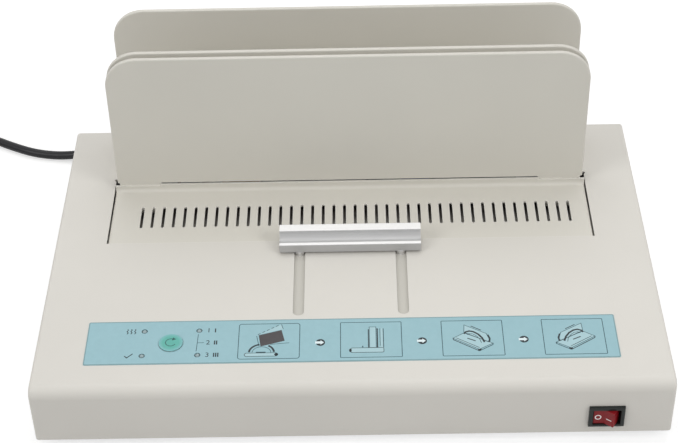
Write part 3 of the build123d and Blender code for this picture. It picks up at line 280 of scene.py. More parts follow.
def powder_coat(name, colour, roughness, grain, edge_colour, shade_depth=None):
    """Paint on sheet metal: fine orange peel, slow tone changes and paler edges, a painted
    highlight mixed with some scuffed paint.

    In front of the shade depth the tone is greyer: painted shade where the sheet lies below the
    housing.
    """
    recipe = Recipe(name, colour, roughness)
    slow = recipe.noise(scale=7.0, detail=3.0)
    tone = recipe.varied(slow, 0.0, 1.0, shade(colour, 0.975), shade(colour, 1.02))
    specks = recipe.spread(recipe.noise(scale=1500.0), 0.0, 0.35, start=0.62, end=0.8)
    tone = recipe.mix(specks, tone, shade(colour, 0.93))
    # Painted shade: the sheet is greyer in front of the depth, where it lies below the housing.
    if shade_depth is not None:
        depth = recipe.axis(recipe.place, "Y")
        tone_mask = recipe.spread(depth, 1.0, 0.0, (shade_depth - 1) * MM, shade_depth * MM)
        tone = recipe.mix(tone_mask, tone, shade(colour, 0.8))
    # Paler edges: a painted highlight where the edges catch the light, with some scuffed paint.
    lit_and_rubbed_edges = recipe.edges(radius=0.0005, low=0.75, high=0.995)
    tone = recipe.mix(lit_and_rubbed_edges, tone, edge_colour)
    patches = recipe.noise(scale=60.0, detail=4.0)
    rough = recipe.spread(patches, roughness - 0.05, roughness + 0.06)
    recipe.bump(recipe.noise(scale=grain), strength=0.12, distance=0.00012)
    return recipe.paint_with(tone, rough)


def moulded(name, colour, roughness, grain=1200.0, strength=0.15, coat=0.0, shine=0.5):
    """Moulded plastic or rubber: a fine spark texture and small differences of tone."""
    recipe = Recipe(name, colour, roughness)
    recipe.give("Specular IOR Level", shine)
    recipe.give("Coat Weight", coat)
    slow = recipe.noise(scale=35.0, detail=3.0)
    tone = recipe.varied(slow, 0.0, 1.0, shade(colour, 0.9), shade(colour, 1.1))
    # Lighter edges: partly scuffs, partly a painted highlight.
    tone_mask = recipe.spread(recipe.edges(radius=0.0004, low=0.7, high=0.99), 0.0, 0.25, 0.0, 1.0)
    tone = recipe.mix(tone_mask, tone, shade(colour, 1.6))
    patches = recipe.noise(scale=90.0, detail=3.0)
    rough = recipe.spread(patches, roughness - 0.05, roughness + 0.07)
    recipe.bump(recipe.noise(scale=grain, detail=3.0), strength, distance=0.00008)
    return recipe.paint_with(tone, rough)


def metal(name, colour, roughness, stretch, grain, strength=0.2):
    """Bare or plated metal: drawn or ground lines, stains and bright edges."""
    recipe = Recipe(name, colour, roughness, metallic=1.0)
    stains = recipe.noise(scale=25.0, detail=4.0)
    tone = recipe.varied(stains, 0.0, 1.0, shade(colour, 0.9), shade(colour, 1.04))
    # Brighter edges: partly scuffed metal, partly a painted highlight.
    bright = recipe.edges(radius=0.0004, low=0.75, high=0.995)
    tone = recipe.mix(bright, tone, shade(colour, 1.12))
    lines = recipe.noise(scale=grain, detail=3.0, stretch=stretch)
    rough = recipe.spread(lines, roughness - 0.07, roughness + 0.08)
    recipe.bump(lines, strength, distance=0.00004)
    return recipe.paint_with(tone, rough)


def film(recipe, colour, roughness):
    """The mottled tone, the roughness and the dot screen of ink or film."""
    mottle = recipe.noise(scale=300.0, detail=3.0)
    tone = recipe.varied(mottle, 0.0, 1.0, shade(colour, 0.965), shade(colour, 1.02))
    rough = recipe.spread(recipe.noise(scale=80.0), roughness - 0.05, roughness + 0.06)
    recipe.bump(recipe.noise(scale=1800.0), strength=0.08, distance=0.00005)
    return tone, rough


def printed(name, colour, roughness=0.4):
    """Ink or film: a faint dot screen, mottle and slow changes of tone."""
    recipe = Recipe(name, colour, roughness)
    tone, rough = film(recipe, colour, roughness)
    tone = recipe.varied(recipe.noise(scale=12.0), 0.0, 0.5, tone, shade(colour, 0.97))
    return recipe.paint_with(tone, rough)


def faded_print(name, colour, roughness, rim_colour, middle, radii):
    """A round print that fades between two radii into the colour round it."""
    recipe = Recipe(name, colour, roughness)
    tone, rough = film(recipe, colour, roughness)
    flat = recipe.tree.nodes.new("ShaderNodeVectorMath")
    flat.operation = "MULTIPLY"
    put(recipe.tree, flat.inputs[0], recipe.place)
    put(recipe.tree, flat.inputs[1], (1, 1, 0))
    away = recipe.tree.nodes.new("ShaderNodeVectorMath")
    away.operation = "DISTANCE"
    put(recipe.tree, away.inputs[0], flat.outputs["Vector"])
    put(recipe.tree, away.inputs[1], (middle[0] * MM, middle[1] * MM, 0))
    fade = recipe.spread(away.outputs["Value"], 0.0, 1.0, radii[0] * MM, radii[1] * MM)
    return recipe.paint_with(recipe.mix(fade, tone, rim_colour), rough)


def brushed_bar(name, shaded_side_colour, roughness, lit_top_colour, hollow):
    """Drawn aluminium, painted white as a highlight on faces that look up outside the hollow
    between two depths; the hollow and the other faces take a grey of painted shade.
    """
    recipe = Recipe(name, shaded_side_colour, roughness, metallic=0.25)
    recipe.give("Specular IOR Level", 0.3)
    # Painted highlight: faces that look up, outside the hollow, take the lit colour; the rest keep
    # the grey, as painted shade.
    height = recipe.axis(recipe.add("NewGeometry").outputs["Normal"], "Z")
    level = recipe.spread(height, 0.0, 1.0, start=0.93, end=0.99)
    depth = recipe.axis(recipe.place, "Y")
    near, far = hollow
    front = recipe.spread(depth, 1.0, 0.0, near * MM, (near + 0.3) * MM)
    back = recipe.spread(depth, 0.0, 1.0, (far - 0.3) * MM, far * MM)
    outside = calculate(recipe.tree, "MAXIMUM", front, back)
    # Mask of the painted highlight: flat tops outside the hollow.
    ground = calculate(recipe.tree, "MULTIPLY", outside, level)
    lines = recipe.noise(scale=45.0, detail=3.0, stretch=(1.0, 70.0, 70.0))
    tone = recipe.varied(lines, 0.0, 0.6, shaded_side_colour, shade(shaded_side_colour, 0.85))
    rough = recipe.spread(lines, roughness - 0.05, roughness + 0.08)
    recipe.bump(lines, strength=0.1, distance=0.00004)
    return recipe.paint_with(recipe.mix(ground, tone, lit_top_colour), rough)


def clear(name, colour, roughness, transmission):
    """A clear or tinted lens or tube."""
    recipe = Recipe(name, colour, roughness)
    recipe.give("Transmission Weight", transmission)
    recipe.give("IOR", 1.5)
    tone = recipe.varied(recipe.noise(scale=200.0), 0.0, 1.0, shade(colour, 0.92), colour)
    rough = recipe.spread(recipe.noise(scale=150.0), roughness, roughness + 0.1)
    recipe.bump(recipe.noise(scale=900.0), strength=0.05, distance=0.00005)
    return recipe.paint_with(tone, rough)


HOUSING_COLOUR = linear(221, 218, 211)
PLATE_COLOUR = linear(219, 216, 207)
# Colours of the paler edges: a painted highlight with some scuffed paint, brighter on the plates.
PALE_EDGE = linear(240, 239, 235)
BRIGHT_EDGE = linear(254, 254, 252)
# Depth in mm in front of which the sheet is greyer, as painted shade below the housing.
SHEET_SHADE_DEPTH = 4
LABEL_COLOUR = linear(151, 191, 200)
KEY_COLOUR = linear(90, 176, 164)
KEY_RIM_COLOUR = linear(128, 186, 190)
KEY_PLACE = (-108.5, -87.4)
KEY_FADE_RADII = (4.9, 7.3)
# Depths of the handle's hollow, which is kept grey as painted shade.
HANDLE_HOLLOW = (-4.2, 1.8)
STEEL = (0.62, 0.62, 0.63, 1)
ALUMINIUM = (0.78, 0.78, 0.79, 1)
BRASS = (0.78, 0.60, 0.30, 1)
EVEN = (1.0, 1.0, 1.0)

# Each slot's finish: what makes it, then its colour, its roughness and the rest in the maker's
# own order
FINISHES = {
    "housing_paint": (powder_coat, HOUSING_COLOUR, 0.5, 850.0, PALE_EDGE),
    "plate_paint": (powder_coat, PLATE_COLOUR, 0.48, 1100.0, BRIGHT_EDGE, SHEET_SHADE_DEPTH),
    "tray_steel": (metal, STEEL, 0.42, EVEN, 120.0, 0.25),
    "fastener_steel": (metal, (0.60, 0.60, 0.61, 1), 0.32, EVEN, 900.0),
    "rod_steel": (metal, (0.72, 0.72, 0.73, 1), 0.14, (1.0, 60.0, 1.0), 60.0, 0.08),
    "core_iron": (metal, (0.25, 0.25, 0.26, 1), 0.5, (1.0, 90.0, 1.0), 30.0, 0.5),
    "plain_aluminium": (metal, ALUMINIUM, 0.4, (1.0, 1.0, 8.0), 160.0),
    "hot_plate_aluminium": (metal, (0.55, 0.54, 0.53, 1), 0.38, (1.0, 40.0, 1.0), 60.0),
    "brass_plain": (metal, BRASS, 0.3, EVEN, 400.0),
    "pin_brass": (metal, (0.80, 0.64, 0.34, 1), 0.2, (1.0, 1.0, 12.0), 200.0, 0.1),
    "winding_tape": (metal, (0.62, 0.32, 0.14, 1), 0.35, (1.0, 1.0, 60.0), 40.0, 0.6),
    # The handle: the grey is painted shade on its sides and hollow, the white a painted highlight
    # on faces that look up.
    "bright_aluminium": (brushed_bar, grey(0.52), 0.42, WHITE, HANDLE_HOLLOW),
    "label_print": (printed, LABEL_COLOUR, 0.42),
    "key_print": (faded_print, KEY_COLOUR, 0.42, KEY_RIM_COLOUR, KEY_PLACE, KEY_FADE_RADII),
    "lamp_lens": (clear, linear(168, 190, 194), 0.3, 0.15),
    "fuse_glass": (clear, (0.9, 0.95, 0.94, 1), 0.03, 0.9),
    "foot_rubber": (moulded, (0.028, 0.028, 0.03, 1), 0.75, 900.0, 0.3),
    "heater_mica": (moulded, (0.30, 0.20, 0.12, 1), 0.5, 200.0, 0.4),
    "fibre_board": (moulded, (0.72, 0.70, 0.66, 1), 0.9, 500.0, 0.7),
    "post_ceramic": (moulded, (0.80, 0.78, 0.72, 1), 0.6, 700.0, 0.2),
    "black_plastic": (moulded, grey(0.03), 0.45),
    "bezel_plastic": (moulded, linear(36, 39, 38), 0.45, 1500.0, 0.12, 0.0, 0.25),
    "rocker_red": (moulded, linear(132, 18, 25), 0.34, 400.0, 0.05, 0.0, 0.25),
    "nylon_white": (moulded, (0.78, 0.77, 0.72, 1), 0.45, 800.0, 0.1),
    "board_laminate": (moulded, (0.02, 0.11, 0.04, 1), 0.35, 300.0, 0.3),
    "relay_blue": (moulded, (0.02, 0.06, 0.30, 1), 0.35),
    "terminal_green": (moulded, (0.02, 0.20, 0.06, 1), 0.4),
    "wire_brown": (moulded, (0.09, 0.04, 0.02, 1), 0.4),
    "wire_black": (moulded, grey(0.02), 0.4),
    "wire_white": (moulded, (0.70, 0.68, 0.60, 1), 0.8, 900.0, 0.5),
    "cable_grey": (moulded, (0.22, 0.22, 0.23, 1), 0.45),
    "cord_black": (moulded, (0.014, 0.014, 0.016, 1), 0.36, 500.0, 0.12, 0.05, 0.25),
    "plug_black": (moulded, (0.018, 0.018, 0.02, 1), 0.45, 1100.0, 0.3, 0.0, 0.3),
}
MATERIALS = {name: maker(name, *values) for name, (maker, *values) in FINISHES.items()}
MARK_WHITE = moulded("mark_white", linear(250, 244, 242), 0.4)
INK_DARK = printed("ink_dark", linear(14, 30, 36), 0.55)
INK_LINE = printed("ink_line", linear(34, 70, 80), 0.55)
INK_BORDER = printed("ink_border", linear(122, 156, 162))
INK_WHITE = printed("ink_white", linear(228, 243, 246))
INK_PALE = printed("ink_pale", linear(170, 204, 211))
INK_BOOK = printed("ink_book", linear(62, 58, 60), 0.5)
INK_KEY = printed("ink_key", linear(38, 96, 92))


# Pieces


def dress_nodes():
    """Every solid takes the material of its slot."""
    for entry in frame["record"]["subparts"]:
        piece = frame["nodes"][entry["node"]]
        for material_slot in piece.material_slots:
            material_slot.material = MATERIALS[entry["material_slot"]]


def dress(piece, body, slot_name, material=None):
    """A new piece takes its finish, and rides on its body."""
    piece.data.materials.append(material or MATERIALS[slot_name])
    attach(piece, body)


def link(name, data):
    """A new object in the scene."""
    piece = bpy.data.objects.new(name, data)
    bpy.context.scene.collection.objects.link(piece)
    return piece


def link_mesh(name, mesh):
    """A new object from a bmesh."""
    data = bpy.data.meshes.new(name)
    bmesh.ops.recalc_face_normals(mesh, faces=mesh.faces)
    mesh.to_mesh(data)
    mesh.free()
    return link(name, data)


# Flat prints

MITRE_LIMIT = 0.4


class Print:
    """Flat printed shapes of one ink, as thin raised islands; points are in millimetres."""

    def __init__(self, name, low, high):
        self.name, self.low, self.high = name, low * MM, high * MM
        self.mesh = bmesh.new()
        self.origin = (0.0, 0.0)

    def at(self, x, y):
        """Where the next shapes' own zero lies."""
        self.origin = (x, y)
        return self

    def rows(self, points):
        """The lower and the upper vertices of a row of points."""
        place = [(self.origin[0] + x, self.origin[1] + y) for x, y in points]
        return [
            [self.mesh.verts.new((x * MM, y * MM, level)) for x, y in place]
            for level in (self.low, self.high)
        ]

    def fill(self, points):
        """A filled outline."""
        lower, upper = self.rows(points)
        self.mesh.faces.new(upper)
        self.mesh.faces.new(lower[::-1])
        count = len(points)
        for i in range(count):
            j = (i + 1) % count
            self.mesh.faces.new((lower[i], lower[j], upper[j], upper[i]))

    def stroke(self, points, width, closed=False):
        """A line of one width through the points."""
        sides = [self.offset(points, side * width / 2, closed) for side in (1, -1)]
        (left_low, left_high), (right_low, right_high) = [self.rows(side) for side in sides]
        count = len(points)
        for i in range(count if closed else count - 1):
            j = (i + 1) % count
            self.mesh.faces.new((left_high[i], left_high[j], right_high[j], right_high[i]))
            self.mesh.faces.new((right_low[i], right_low[j], left_low[j], left_low[i]))
            self.mesh.faces.new((left_low[i], left_low[j], left_high[j], left_high[i]))
            self.mesh.faces.new((right_high[i], right_high[j], right_low[j], right_low[i]))
        if not closed:
            for i in (0, -1):
                self.mesh.faces.new((left_low[i], left_high[i], right_high[i], right_low[i]))

    @staticmethod
    def offset(points, reach, closed):
        """The points moved sideways, mitred at the corners up to a limit."""
        moved = []
        count = len(points)
        for i in range(count):
            before = Vector(points[i - 1]) if closed or i else None
            after = Vector(points[(i + 1) % count]) if closed or i < count - 1 else None
            here = Vector(points[i])
            ways = [
                way.normalized()
                for way in ((here - before) if before else None, (after - here) if after else None)
                if way is not None
            ]
            normals = [Vector((-way.y, way.x)) for way in ways]
            mitre = sum(normals, Vector((0, 0))).normalized()
            stretch = max(mitre.dot(normals[0]), MITRE_LIMIT)
            moved.append(tuple(here + mitre * reach / stretch))
        return moved

    def done(self, body, slot_name, material, place=None):
        """The finished piece, moved to its place where that is given."""
        piece = link_mesh(self.name, self.mesh)
        if place is not None:
            piece.data.transform(place)
        dress(piece, body, slot_name, material)


def arc(centre, radii, start, end, count):
    """Points along an ellipse's arc, in degrees."""
    points = []
    for i in range(count + 1):
        angle = math.radians(start + (end - start) * i / count)
        x = centre[0] + radii[0] * math.cos(angle)
        y = centre[1] + radii[1] * math.sin(angle)
        points.append((x, y))
    return points


def ellipse(radii, centre=(0, 0), count=24):
    """A whole ellipse's outline, as a ring of points."""
    return arc(centre, radii, 0, 360 * (count - 1) / count, count - 1)


def rounded(half_width, half_height, radius, centre=(0, 0)):
    """A rounded rectangle's outline about a point."""
    points = []
    for x, y, start in (
        (half_width - radius, half_height - radius, 0),
        (radius - half_width, half_height - radius, 90),
        (radius - half_width, radius - half_height, 180),
        (half_width - radius, radius - half_height, 270),
    ):
        points += arc((x, y), (radius, radius), start, start + 90, 4)
    return [(centre[0] + x, centre[1] + y) for x, y in points]


def box_outline(x_low, x_high, y_low, y_high):
    """A rectangle's four corners."""
    return [(x_low, y_low), (x_high, y_low), (x_high, y_high), (x_low, y_high)]


# The label: its sheet, its framed pictures, the arrows between them, and the lamps' rings and marks

LABEL_LOW, LABEL_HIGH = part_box("label_overlay")
LABEL_TOP = LABEL_HIGH.z / MM
LABEL_MIDDLE = ((LABEL_LOW.x + LABEL_HIGH.x) / 2 / MM, (LABEL_LOW.y + LABEL_HIGH.y) / 2 / MM)
LABEL_HALF = ((LABEL_HIGH.x - LABEL_LOW.x) / 2 / MM, (LABEL_HIGH.y - LABEL_LOW.y) / 2 / MM)
INK_SUNK = 0.02
INK_RAISED = 0.03
DARK_RAISED = 0.04
PALE_RAISED = 0.015
ARROW_RAISED = 0.055
BORDER_INSET = 0.35
BORDER_CORNER = 0.8
BORDER_LINE = 0.6
FRAME_MIDDLE_Y = -86.9
FRAME_LEFTS = (-67.95, -6.6, 54.35, 115.05)
FRAME_WIDTH = 37.15
FRAME_HEIGHT = 30.6
FRAME_CORNERS = (1.6, 0.5, 0.5, 0.5)
FRAME_LINE = 0.42
THIN_LINE = 0.36
LAST_PICTURE_SHIFT = 0.8
ARROW_PLACES = ((-18.5, -88.8), (42.6, -88.7), (103.5, -88.7))
ARROW_DISC = (2.8, 2.9)
ARROW = (
    (-3.1, -0.95), (0.1, -0.95), (0.1, -1.9), (2.2, 0), (0.1, 1.9), (0.1, 0.95), (-3.1, 0.95)
)
STATUS_X, LEVEL_X = -125.1, -91.9
LAMP_ROWS = (-76.85, -97.95)
MIDDLE_ROW = sum(LAMP_ROWS) / 2
LAMP_RING_RADII = (1.75, 1.75)
LAMP_RING_LINE = 0.22
BRACKET_GAP = 3.2
BRACKET_TOP, BRACKET_FOOT, BRACKET_ARM = -0.4, -0.9, 3.4
BARS_OFFSET = 9.4
BAR_PITCH = 1.25
BAR_WIDTH = 0.75
BAR_HALF = 1.7
WAVES_OFFSET = -10.6
WAVE_PITCH = 2.3
WAVE = ((0, -2.1), (0.7, -1.0), (-0.1, 0.2), (0.6, 1.3), (0.2, 2.1))
WAVE_LINE = 0.5
TICK_OFFSET = -8.0
TICK = ((-2.4, 0.1), (-0.9, -1.5), (2.4, 1.9))
TICK_LINE = 0.6
NUMBER_OFFSET = 5.8
NUMBER_SIZE = 5.2
NUMBER_EXTRUSION = 0.02
NUMBER_LIFT = 0.012


def draw_document_frame(line, dark, book, pale, centre):
    """A bound document that is lowered over an arch on a flat base."""
    for ink in (line, dark, book, pale):
        ink.at(*centre)
    pale.fill([(-7.4, 4.9), (-1.6, 8.7), (7.0, 14.2), (8.3, 10.0), (6.9, 9.9), (-6.2, 5.8)])
    for step in range(5):
        x, y = -6.9 + 2.7 * step, 5.7 + 1.75 * step
        dark.stroke([(x, y), (x + 1.5, y + 1.0)], THIN_LINE)
    line.stroke([(-7.6, 4.6), (-5.9, -4.4)], THIN_LINE)
    line.stroke([(7.2, 14.4), (8.3, 10.2)], THIN_LINE)
    book.fill([(-6.4, 5.2), (7.3, 9.5), (9.4, 0.1), (-5.0, -4.5)])
    line.stroke([(0.8, -2.9), (12.2, -1.7)], THIN_LINE)
    foot, outer, inner = (-4.3, -9.8), (7.5, 7.0), (5.6, 5.0)
    dark.stroke(arc(foot, outer, 4, 58, 8), 1.2)
    dark.stroke(arc(foot, outer, 100, 176, 10), 1.2)
    line.stroke(arc(foot, inner, 2, 178, 14), THIN_LINE)
    base = rounded(9.8, 1.4, 1.2, (-4.6, -11.5))
    pale.fill(base)
    dark.stroke(base, THIN_LINE, True)
    dark.fill(ellipse((1.2, 1.2), (4.6, -11.5), 12))
    line.stroke([(-7.6, -9.5), (-1.8, -9.5)], 0.8)


def draw_side_frame(line, dark, pale, centre):
    """The document standing upright on the machine, seen from the side."""
    for ink in (line, dark, pale):
        ink.at(*centre)
    pale.fill(box_outline(-12.0, 7.4, -10.9, -7.1))
    dark.stroke(rounded(9.8, 1.95, 0.7, (-2.3, -9.0)), THIN_LINE, True)
    document = box_outline(-1.0, 3.0, -6.9, 10.9)
    pale.fill(document)
    line.stroke(document, THIN_LINE, True)
    dark.stroke([(-1.6, -6.8), (-1.6, 8.9)], 0.55)
    dark.stroke([(3.75, -6.8), (3.75, 9.6)], 0.75)
    pale.fill(box_outline(5.6, 7.2, -6.9, 9.4))
    line.stroke([(7.4, -6.8), (7.4, 9.5)], 0.5)
    line.stroke([(5.4, 9.5), (5.4, -5.4)], THIN_LINE)
    dark.fill(ellipse((0.8, 1.5), (-12.5, -9.1), 12))
    line.stroke([(-5.1, -6.7), (-5.1, -5.4)], 0.7)


def draw_corner_frame(line, dark, pale, centre, mirror):
    """The machine at an angle, with its plate up and an arch in front."""
    for ink in (line, dark, pale):
        ink.at(*centre)

    def flip(*points):
        return [(mirror * x, y) for x, y in points]

    base = flip((-11.8, 0.0), (-5.0, 4.4), (11.9, -4.8), (3.4, -9.8))
    pale.fill(base)
    line.stroke(base, THIN_LINE, True)
    dark.stroke(flip((-11.8, -0.4), (-11.5, -1.4), (3.4, -11.2)), 0.5)
    line.stroke(flip((3.4, -11.2), (11.8, -6.0), (11.9, -4.8)), 0.5)
    dark.stroke(flip((-9.8, 0.2), (3.6, -8.4)), THIN_LINE)
    dark.fill(flip((2.6, -9.6), (4.8, -9.4), (4.4, -11.0), (2.8, -11.2)))
    plate = flip((-4.6, 11.4), (8.4, 3.6), (9.8, -1.4), (9.2, -3.6), (-5.0, 5.0))
    pale.fill(plate)
    line.stroke(plate, THIN_LINE, True)
    arch = flip(
        (-5.0, 3.6), (-4.0, 5.2), (-1.8, 6.0), (0.6, 5.4), (3.4, 3.2), (5.6, 0.0), (6.9, -3.8)
    )
    dark.stroke(arch, 1.15)
    inner = flip((-3.4, 2.8), (-2.0, 3.8), (0.2, 3.5), (2.4, 1.6), (4.4, -1.6), (5.0, -4.4))
    line.stroke(inner, THIN_LINE)
    dark.stroke(flip((9.2, 2.6), (10.3, -0.8), (9.9, -3.6)), 0.8)
    dark.stroke(flip((-0.6, 10.3), (5.4, 6.6)), 0.5)
    dark.stroke(flip((-3.2, -0.2), (1.6, -2.6)), 0.7)


def draw_lamp_marks(line, dark):
    """Rings round the lamps, the bracket and bars of the levels, and the heat and ready signs."""
    high_row, low_row = LAMP_ROWS
    for x in (STATUS_X, LEVEL_X):
        for y in LAMP_ROWS:
            line.at(x, y).stroke(ellipse(LAMP_RING_RADII), LAMP_RING_LINE, True)
    line.at(0, 0)
    top = (LEVEL_X + BRACKET_TOP, high_row - BRACKET_GAP)
    foot = (LEVEL_X + BRACKET_FOOT, low_row + BRACKET_GAP)
    line.stroke([top, foot], THIN_LINE)
    line.stroke([(top[0], MIDDLE_ROW), (LEVEL_X + BRACKET_ARM, MIDDLE_ROW)], THIN_LINE)
    for count, y in ((1, high_row), (2, MIDDLE_ROW), (3, low_row)):
        dark.at(LEVEL_X + BARS_OFFSET, y)
        for step in range(count):
            left = step * BAR_PITCH
            dark.fill(box_outline(left, left + BAR_WIDTH, -BAR_HALF, BAR_HALF))
    for step in range(3):
        dark.at(STATUS_X + WAVES_OFFSET + WAVE_PITCH * step, high_row).stroke(WAVE, WAVE_LINE)
    dark.at(STATUS_X + TICK_OFFSET, low_row).stroke(TICK, TICK_LINE)


def draw_label():
    """The label's border, its four framed pictures, arrows, lamp rings and marks."""
    low, top = LABEL_TOP - INK_SUNK, LABEL_TOP + INK_RAISED
    line = Print("label_lines", low, top)
    dark = Print("label_dark_ink", low, LABEL_TOP + DARK_RAISED)
    book = Print("label_book_ink", low, top)
    pale = Print("label_pale_ink", low, LABEL_TOP + PALE_RAISED)
    border = Print("label_border", low, top)
    arrow = Print("label_arrows", low, LABEL_TOP + ARROW_RAISED)
    half_width, half_height = [half - BORDER_INSET for half in LABEL_HALF]
    border.at(*LABEL_MIDDLE)
    border.stroke(rounded(half_width, half_height, BORDER_CORNER), BORDER_LINE, True)
    centres = [(left + FRAME_WIDTH / 2, FRAME_MIDDLE_Y) for left in FRAME_LEFTS]
    half_width, half_height = [(side - FRAME_LINE) / 2 for side in (FRAME_WIDTH, FRAME_HEIGHT)]
    for centre, radius in zip(centres, FRAME_CORNERS):
        line.at(*centre).stroke(rounded(half_width, half_height, radius), FRAME_LINE, True)
    draw_document_frame(line, dark, book, pale, centres[0])
    draw_side_frame(line, dark, pale, centres[1])
    draw_corner_frame(line, dark, pale, centres[2], 1)
    x, y = centres[3]
    draw_corner_frame(line, dark, pale, (x + LAST_PICTURE_SHIFT, y), -1)
    for x, y in ARROW_PLACES:
        dark.at(x, y).fill(ellipse(ARROW_DISC))
        arrow.at(x, y).fill(ARROW)
    draw_lamp_marks(line, dark)
    for shapes, ink in (
        (line, INK_LINE),
        (dark, INK_DARK),
        (book, INK_BOOK),
        (pale, INK_PALE),
        (border, INK_BORDER),
        (arrow, INK_WHITE),
    ):
        shapes.done("housing", "label_print", ink)


def make_numbers():
    """The numbers of the three levels."""
    for text, y in zip("123", (LAMP_ROWS[0], MIDDLE_ROW, LAMP_ROWS[1])):
        curve = bpy.data.curves.new("level_number_" + text, "FONT")
        curve.body = text
        curve.size = NUMBER_SIZE * MM
        curve.align_x, curve.align_y = "CENTER", "CENTER"
        curve.extrude = NUMBER_EXTRUSION * MM
        maker = link("number_maker", curve)
        bpy.context.view_layer.update()
        shaped = maker.evaluated_get(bpy.context.evaluated_depsgraph_get())
        data = bpy.data.meshes.new_from_object(shaped)
        bpy.data.objects.remove(maker)
        place = ((LEVEL_X + NUMBER_OFFSET) * MM, y * MM, (LABEL_TOP + NUMBER_LIFT) * MM)
        data.transform(Matrix.Translation(place))
        data.materials.clear()
        dress(link("level_number_" + text, data), "housing", "label_print", INK_DARK)


# The signs on the key and the rocker. The rocker's sizes are those of the part's source

KEY_SIGN_RADII = (3.1, 3.1)
KEY_SIGN_LINE = 0.55
KEY_SIGN_HEAD = ((1.2, 4.3), (3.2, 2.6), (0.6, 1.6))
ROCKER_PIVOT = (150.4, -123.0, 21.8)
ROCKER_TILT = 18.0
ROCKER_VALLEY = 5.4
ROCKER_RIM = 7.4
ROCKER_HALF = 6.06
MARK_SUNK = -0.03
MARK_RAISED = 0.05
OFF_MARK_PLACE = (-0.3, -0.3)
OFF_MARK_RADII = (1.65, 1.6)
OFF_MARK_LINE = 0.62
ON_MARK_PLACE = (0, -0.9)
ON_MARK_HALF = (1.75, 0.3)


def draw_key():
    """A turning arrow on the key."""
    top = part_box("select_button")[1].z / MM
    sign = Print("key_sign", top - INK_SUNK, top + INK_RAISED).at(*KEY_PLACE)
    sign.stroke(arc((0, 0), KEY_SIGN_RADII, 60, 330, 20), KEY_SIGN_LINE)
    sign.fill(KEY_SIGN_HEAD)
    sign.done("select_key", "key_print", INK_KEY)


def rocker_face(side):
    """The matrix of one half of the rocker's face: X along it, Y up, Z outwards."""
    turn = Matrix.Rotation(math.radians(-ROCKER_TILT), 3, "Z")
    middle = Vector((side * ROCKER_HALF / 2, -(ROCKER_VALLEY + ROCKER_RIM) / 2, 0))
    along = turn @ Vector((ROCKER_HALF, side * (ROCKER_VALLEY - ROCKER_RIM), 0)).normalized()
    up = Vector((0, 0, 1))
    out = along.cross(up)
    place = turn @ middle + Vector(ROCKER_PIVOT)
    matrix = Matrix((along, up, out)).transposed().to_4x4()
    return Matrix.Translation(place * MM) @ matrix


def make_rocker_marks():
    """The O and the dash on the rocker's two halves."""
    off = Print("rocker_mark_off", MARK_SUNK, MARK_RAISED).at(*OFF_MARK_PLACE)
    off.stroke(ellipse(OFF_MARK_RADII), OFF_MARK_LINE, True)
    off.done("rocker", "nylon_white", MARK_WHITE, rocker_face(-1))
    on = Print("rocker_mark_on", MARK_SUNK, MARK_RAISED).at(*ON_MARK_PLACE)
    half_length, half_width = ON_MARK_HALF
    on.fill(box_outline(-half_length, half_length, -half_width, half_width))
    on.done("rocker", "nylon_white", MARK_WHITE, rocker_face(1))


# Strain relief: a shank through the wall, a flange, a straight lead, an elbow and a ribbed taper.
# A rib's profile is a row of shares of its pitch, each with its drop below the rib's radius

CORD_EXIT = (-112, 127, 22)
RELIEF_SHANK_RADIUS = 5.9
RELIEF_FLANGE = 2.5
RELIEF_FLANGE_RADIUS = 8.0
RELIEF_FLANGE_BEVEL = 0.5
RELIEF_LEAD = 0.5
RELIEF_RADIUS = 6.0
RELIEF_STEP = 0.05
RELIEF_ELBOW_RADIUS = 8
RELIEF_ELBOW_SHARES = (0, 0.25, 0.5, 0.75, 1)
RELIEF_TURN = 75
RELIEF_TAPER = 20
RELIEF_RIBS = 7
RELIEF_NARROWING = 1.3
RIB_PROFILE = ((0.06, 0.0), (0.12, 0.7), (0.34, 0.7), (0.42, 0.0), (0.94, 0.05))
RELIEF_SIDES = 36
RELIEF_SHARP_ANGLE = 50.0


def relief_stations():
    """The relief's places from inside the wall to the tip, each with its heading and radius."""
    x, wall, z = CORD_EXIT
    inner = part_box("cord_bushing")[0].y / MM
    flange = wall + RELIEF_FLANGE
    stations = [
        (Vector((x, y, z)), 0.0, radius)
        for y, radius in (
            (inner, RELIEF_SHANK_RADIUS),
            (wall, RELIEF_SHANK_RADIUS),
            (wall, RELIEF_FLANGE_RADIUS),
            (flange - RELIEF_FLANGE_BEVEL, RELIEF_FLANGE_RADIUS),
            (flange, RELIEF_FLANGE_RADIUS - RELIEF_FLANGE_BEVEL),
            (flange + RELIEF_STEP, RELIEF_RADIUS),
        )
    ]
    for share in RELIEF_ELBOW_SHARES:
        angle = math.radians(RELIEF_TURN) * share
        along = flange + RELIEF_LEAD + RELIEF_ELBOW_RADIUS * math.sin(angle)
        end = Vector((x + RELIEF_ELBOW_RADIUS * (math.cos(angle) - 1), along, z))
        stations.append((end, angle, RELIEF_RADIUS))
    way = Vector((-math.sin(angle), math.cos(angle), 0))
    pitch = RELIEF_TAPER / RELIEF_RIBS
    last = RELIEF_RIBS - 1
    for rib in range(RELIEF_RIBS):
        radius = RELIEF_RADIUS - RELIEF_NARROWING * rib / last
        for share, drop in RIB_PROFILE:
            if rib == last and share == RIB_PROFILE[-1][0]:
                share = 1.0
            stations.append((end + way * (rib + share) * pitch, angle, radius - drop))
    return stations


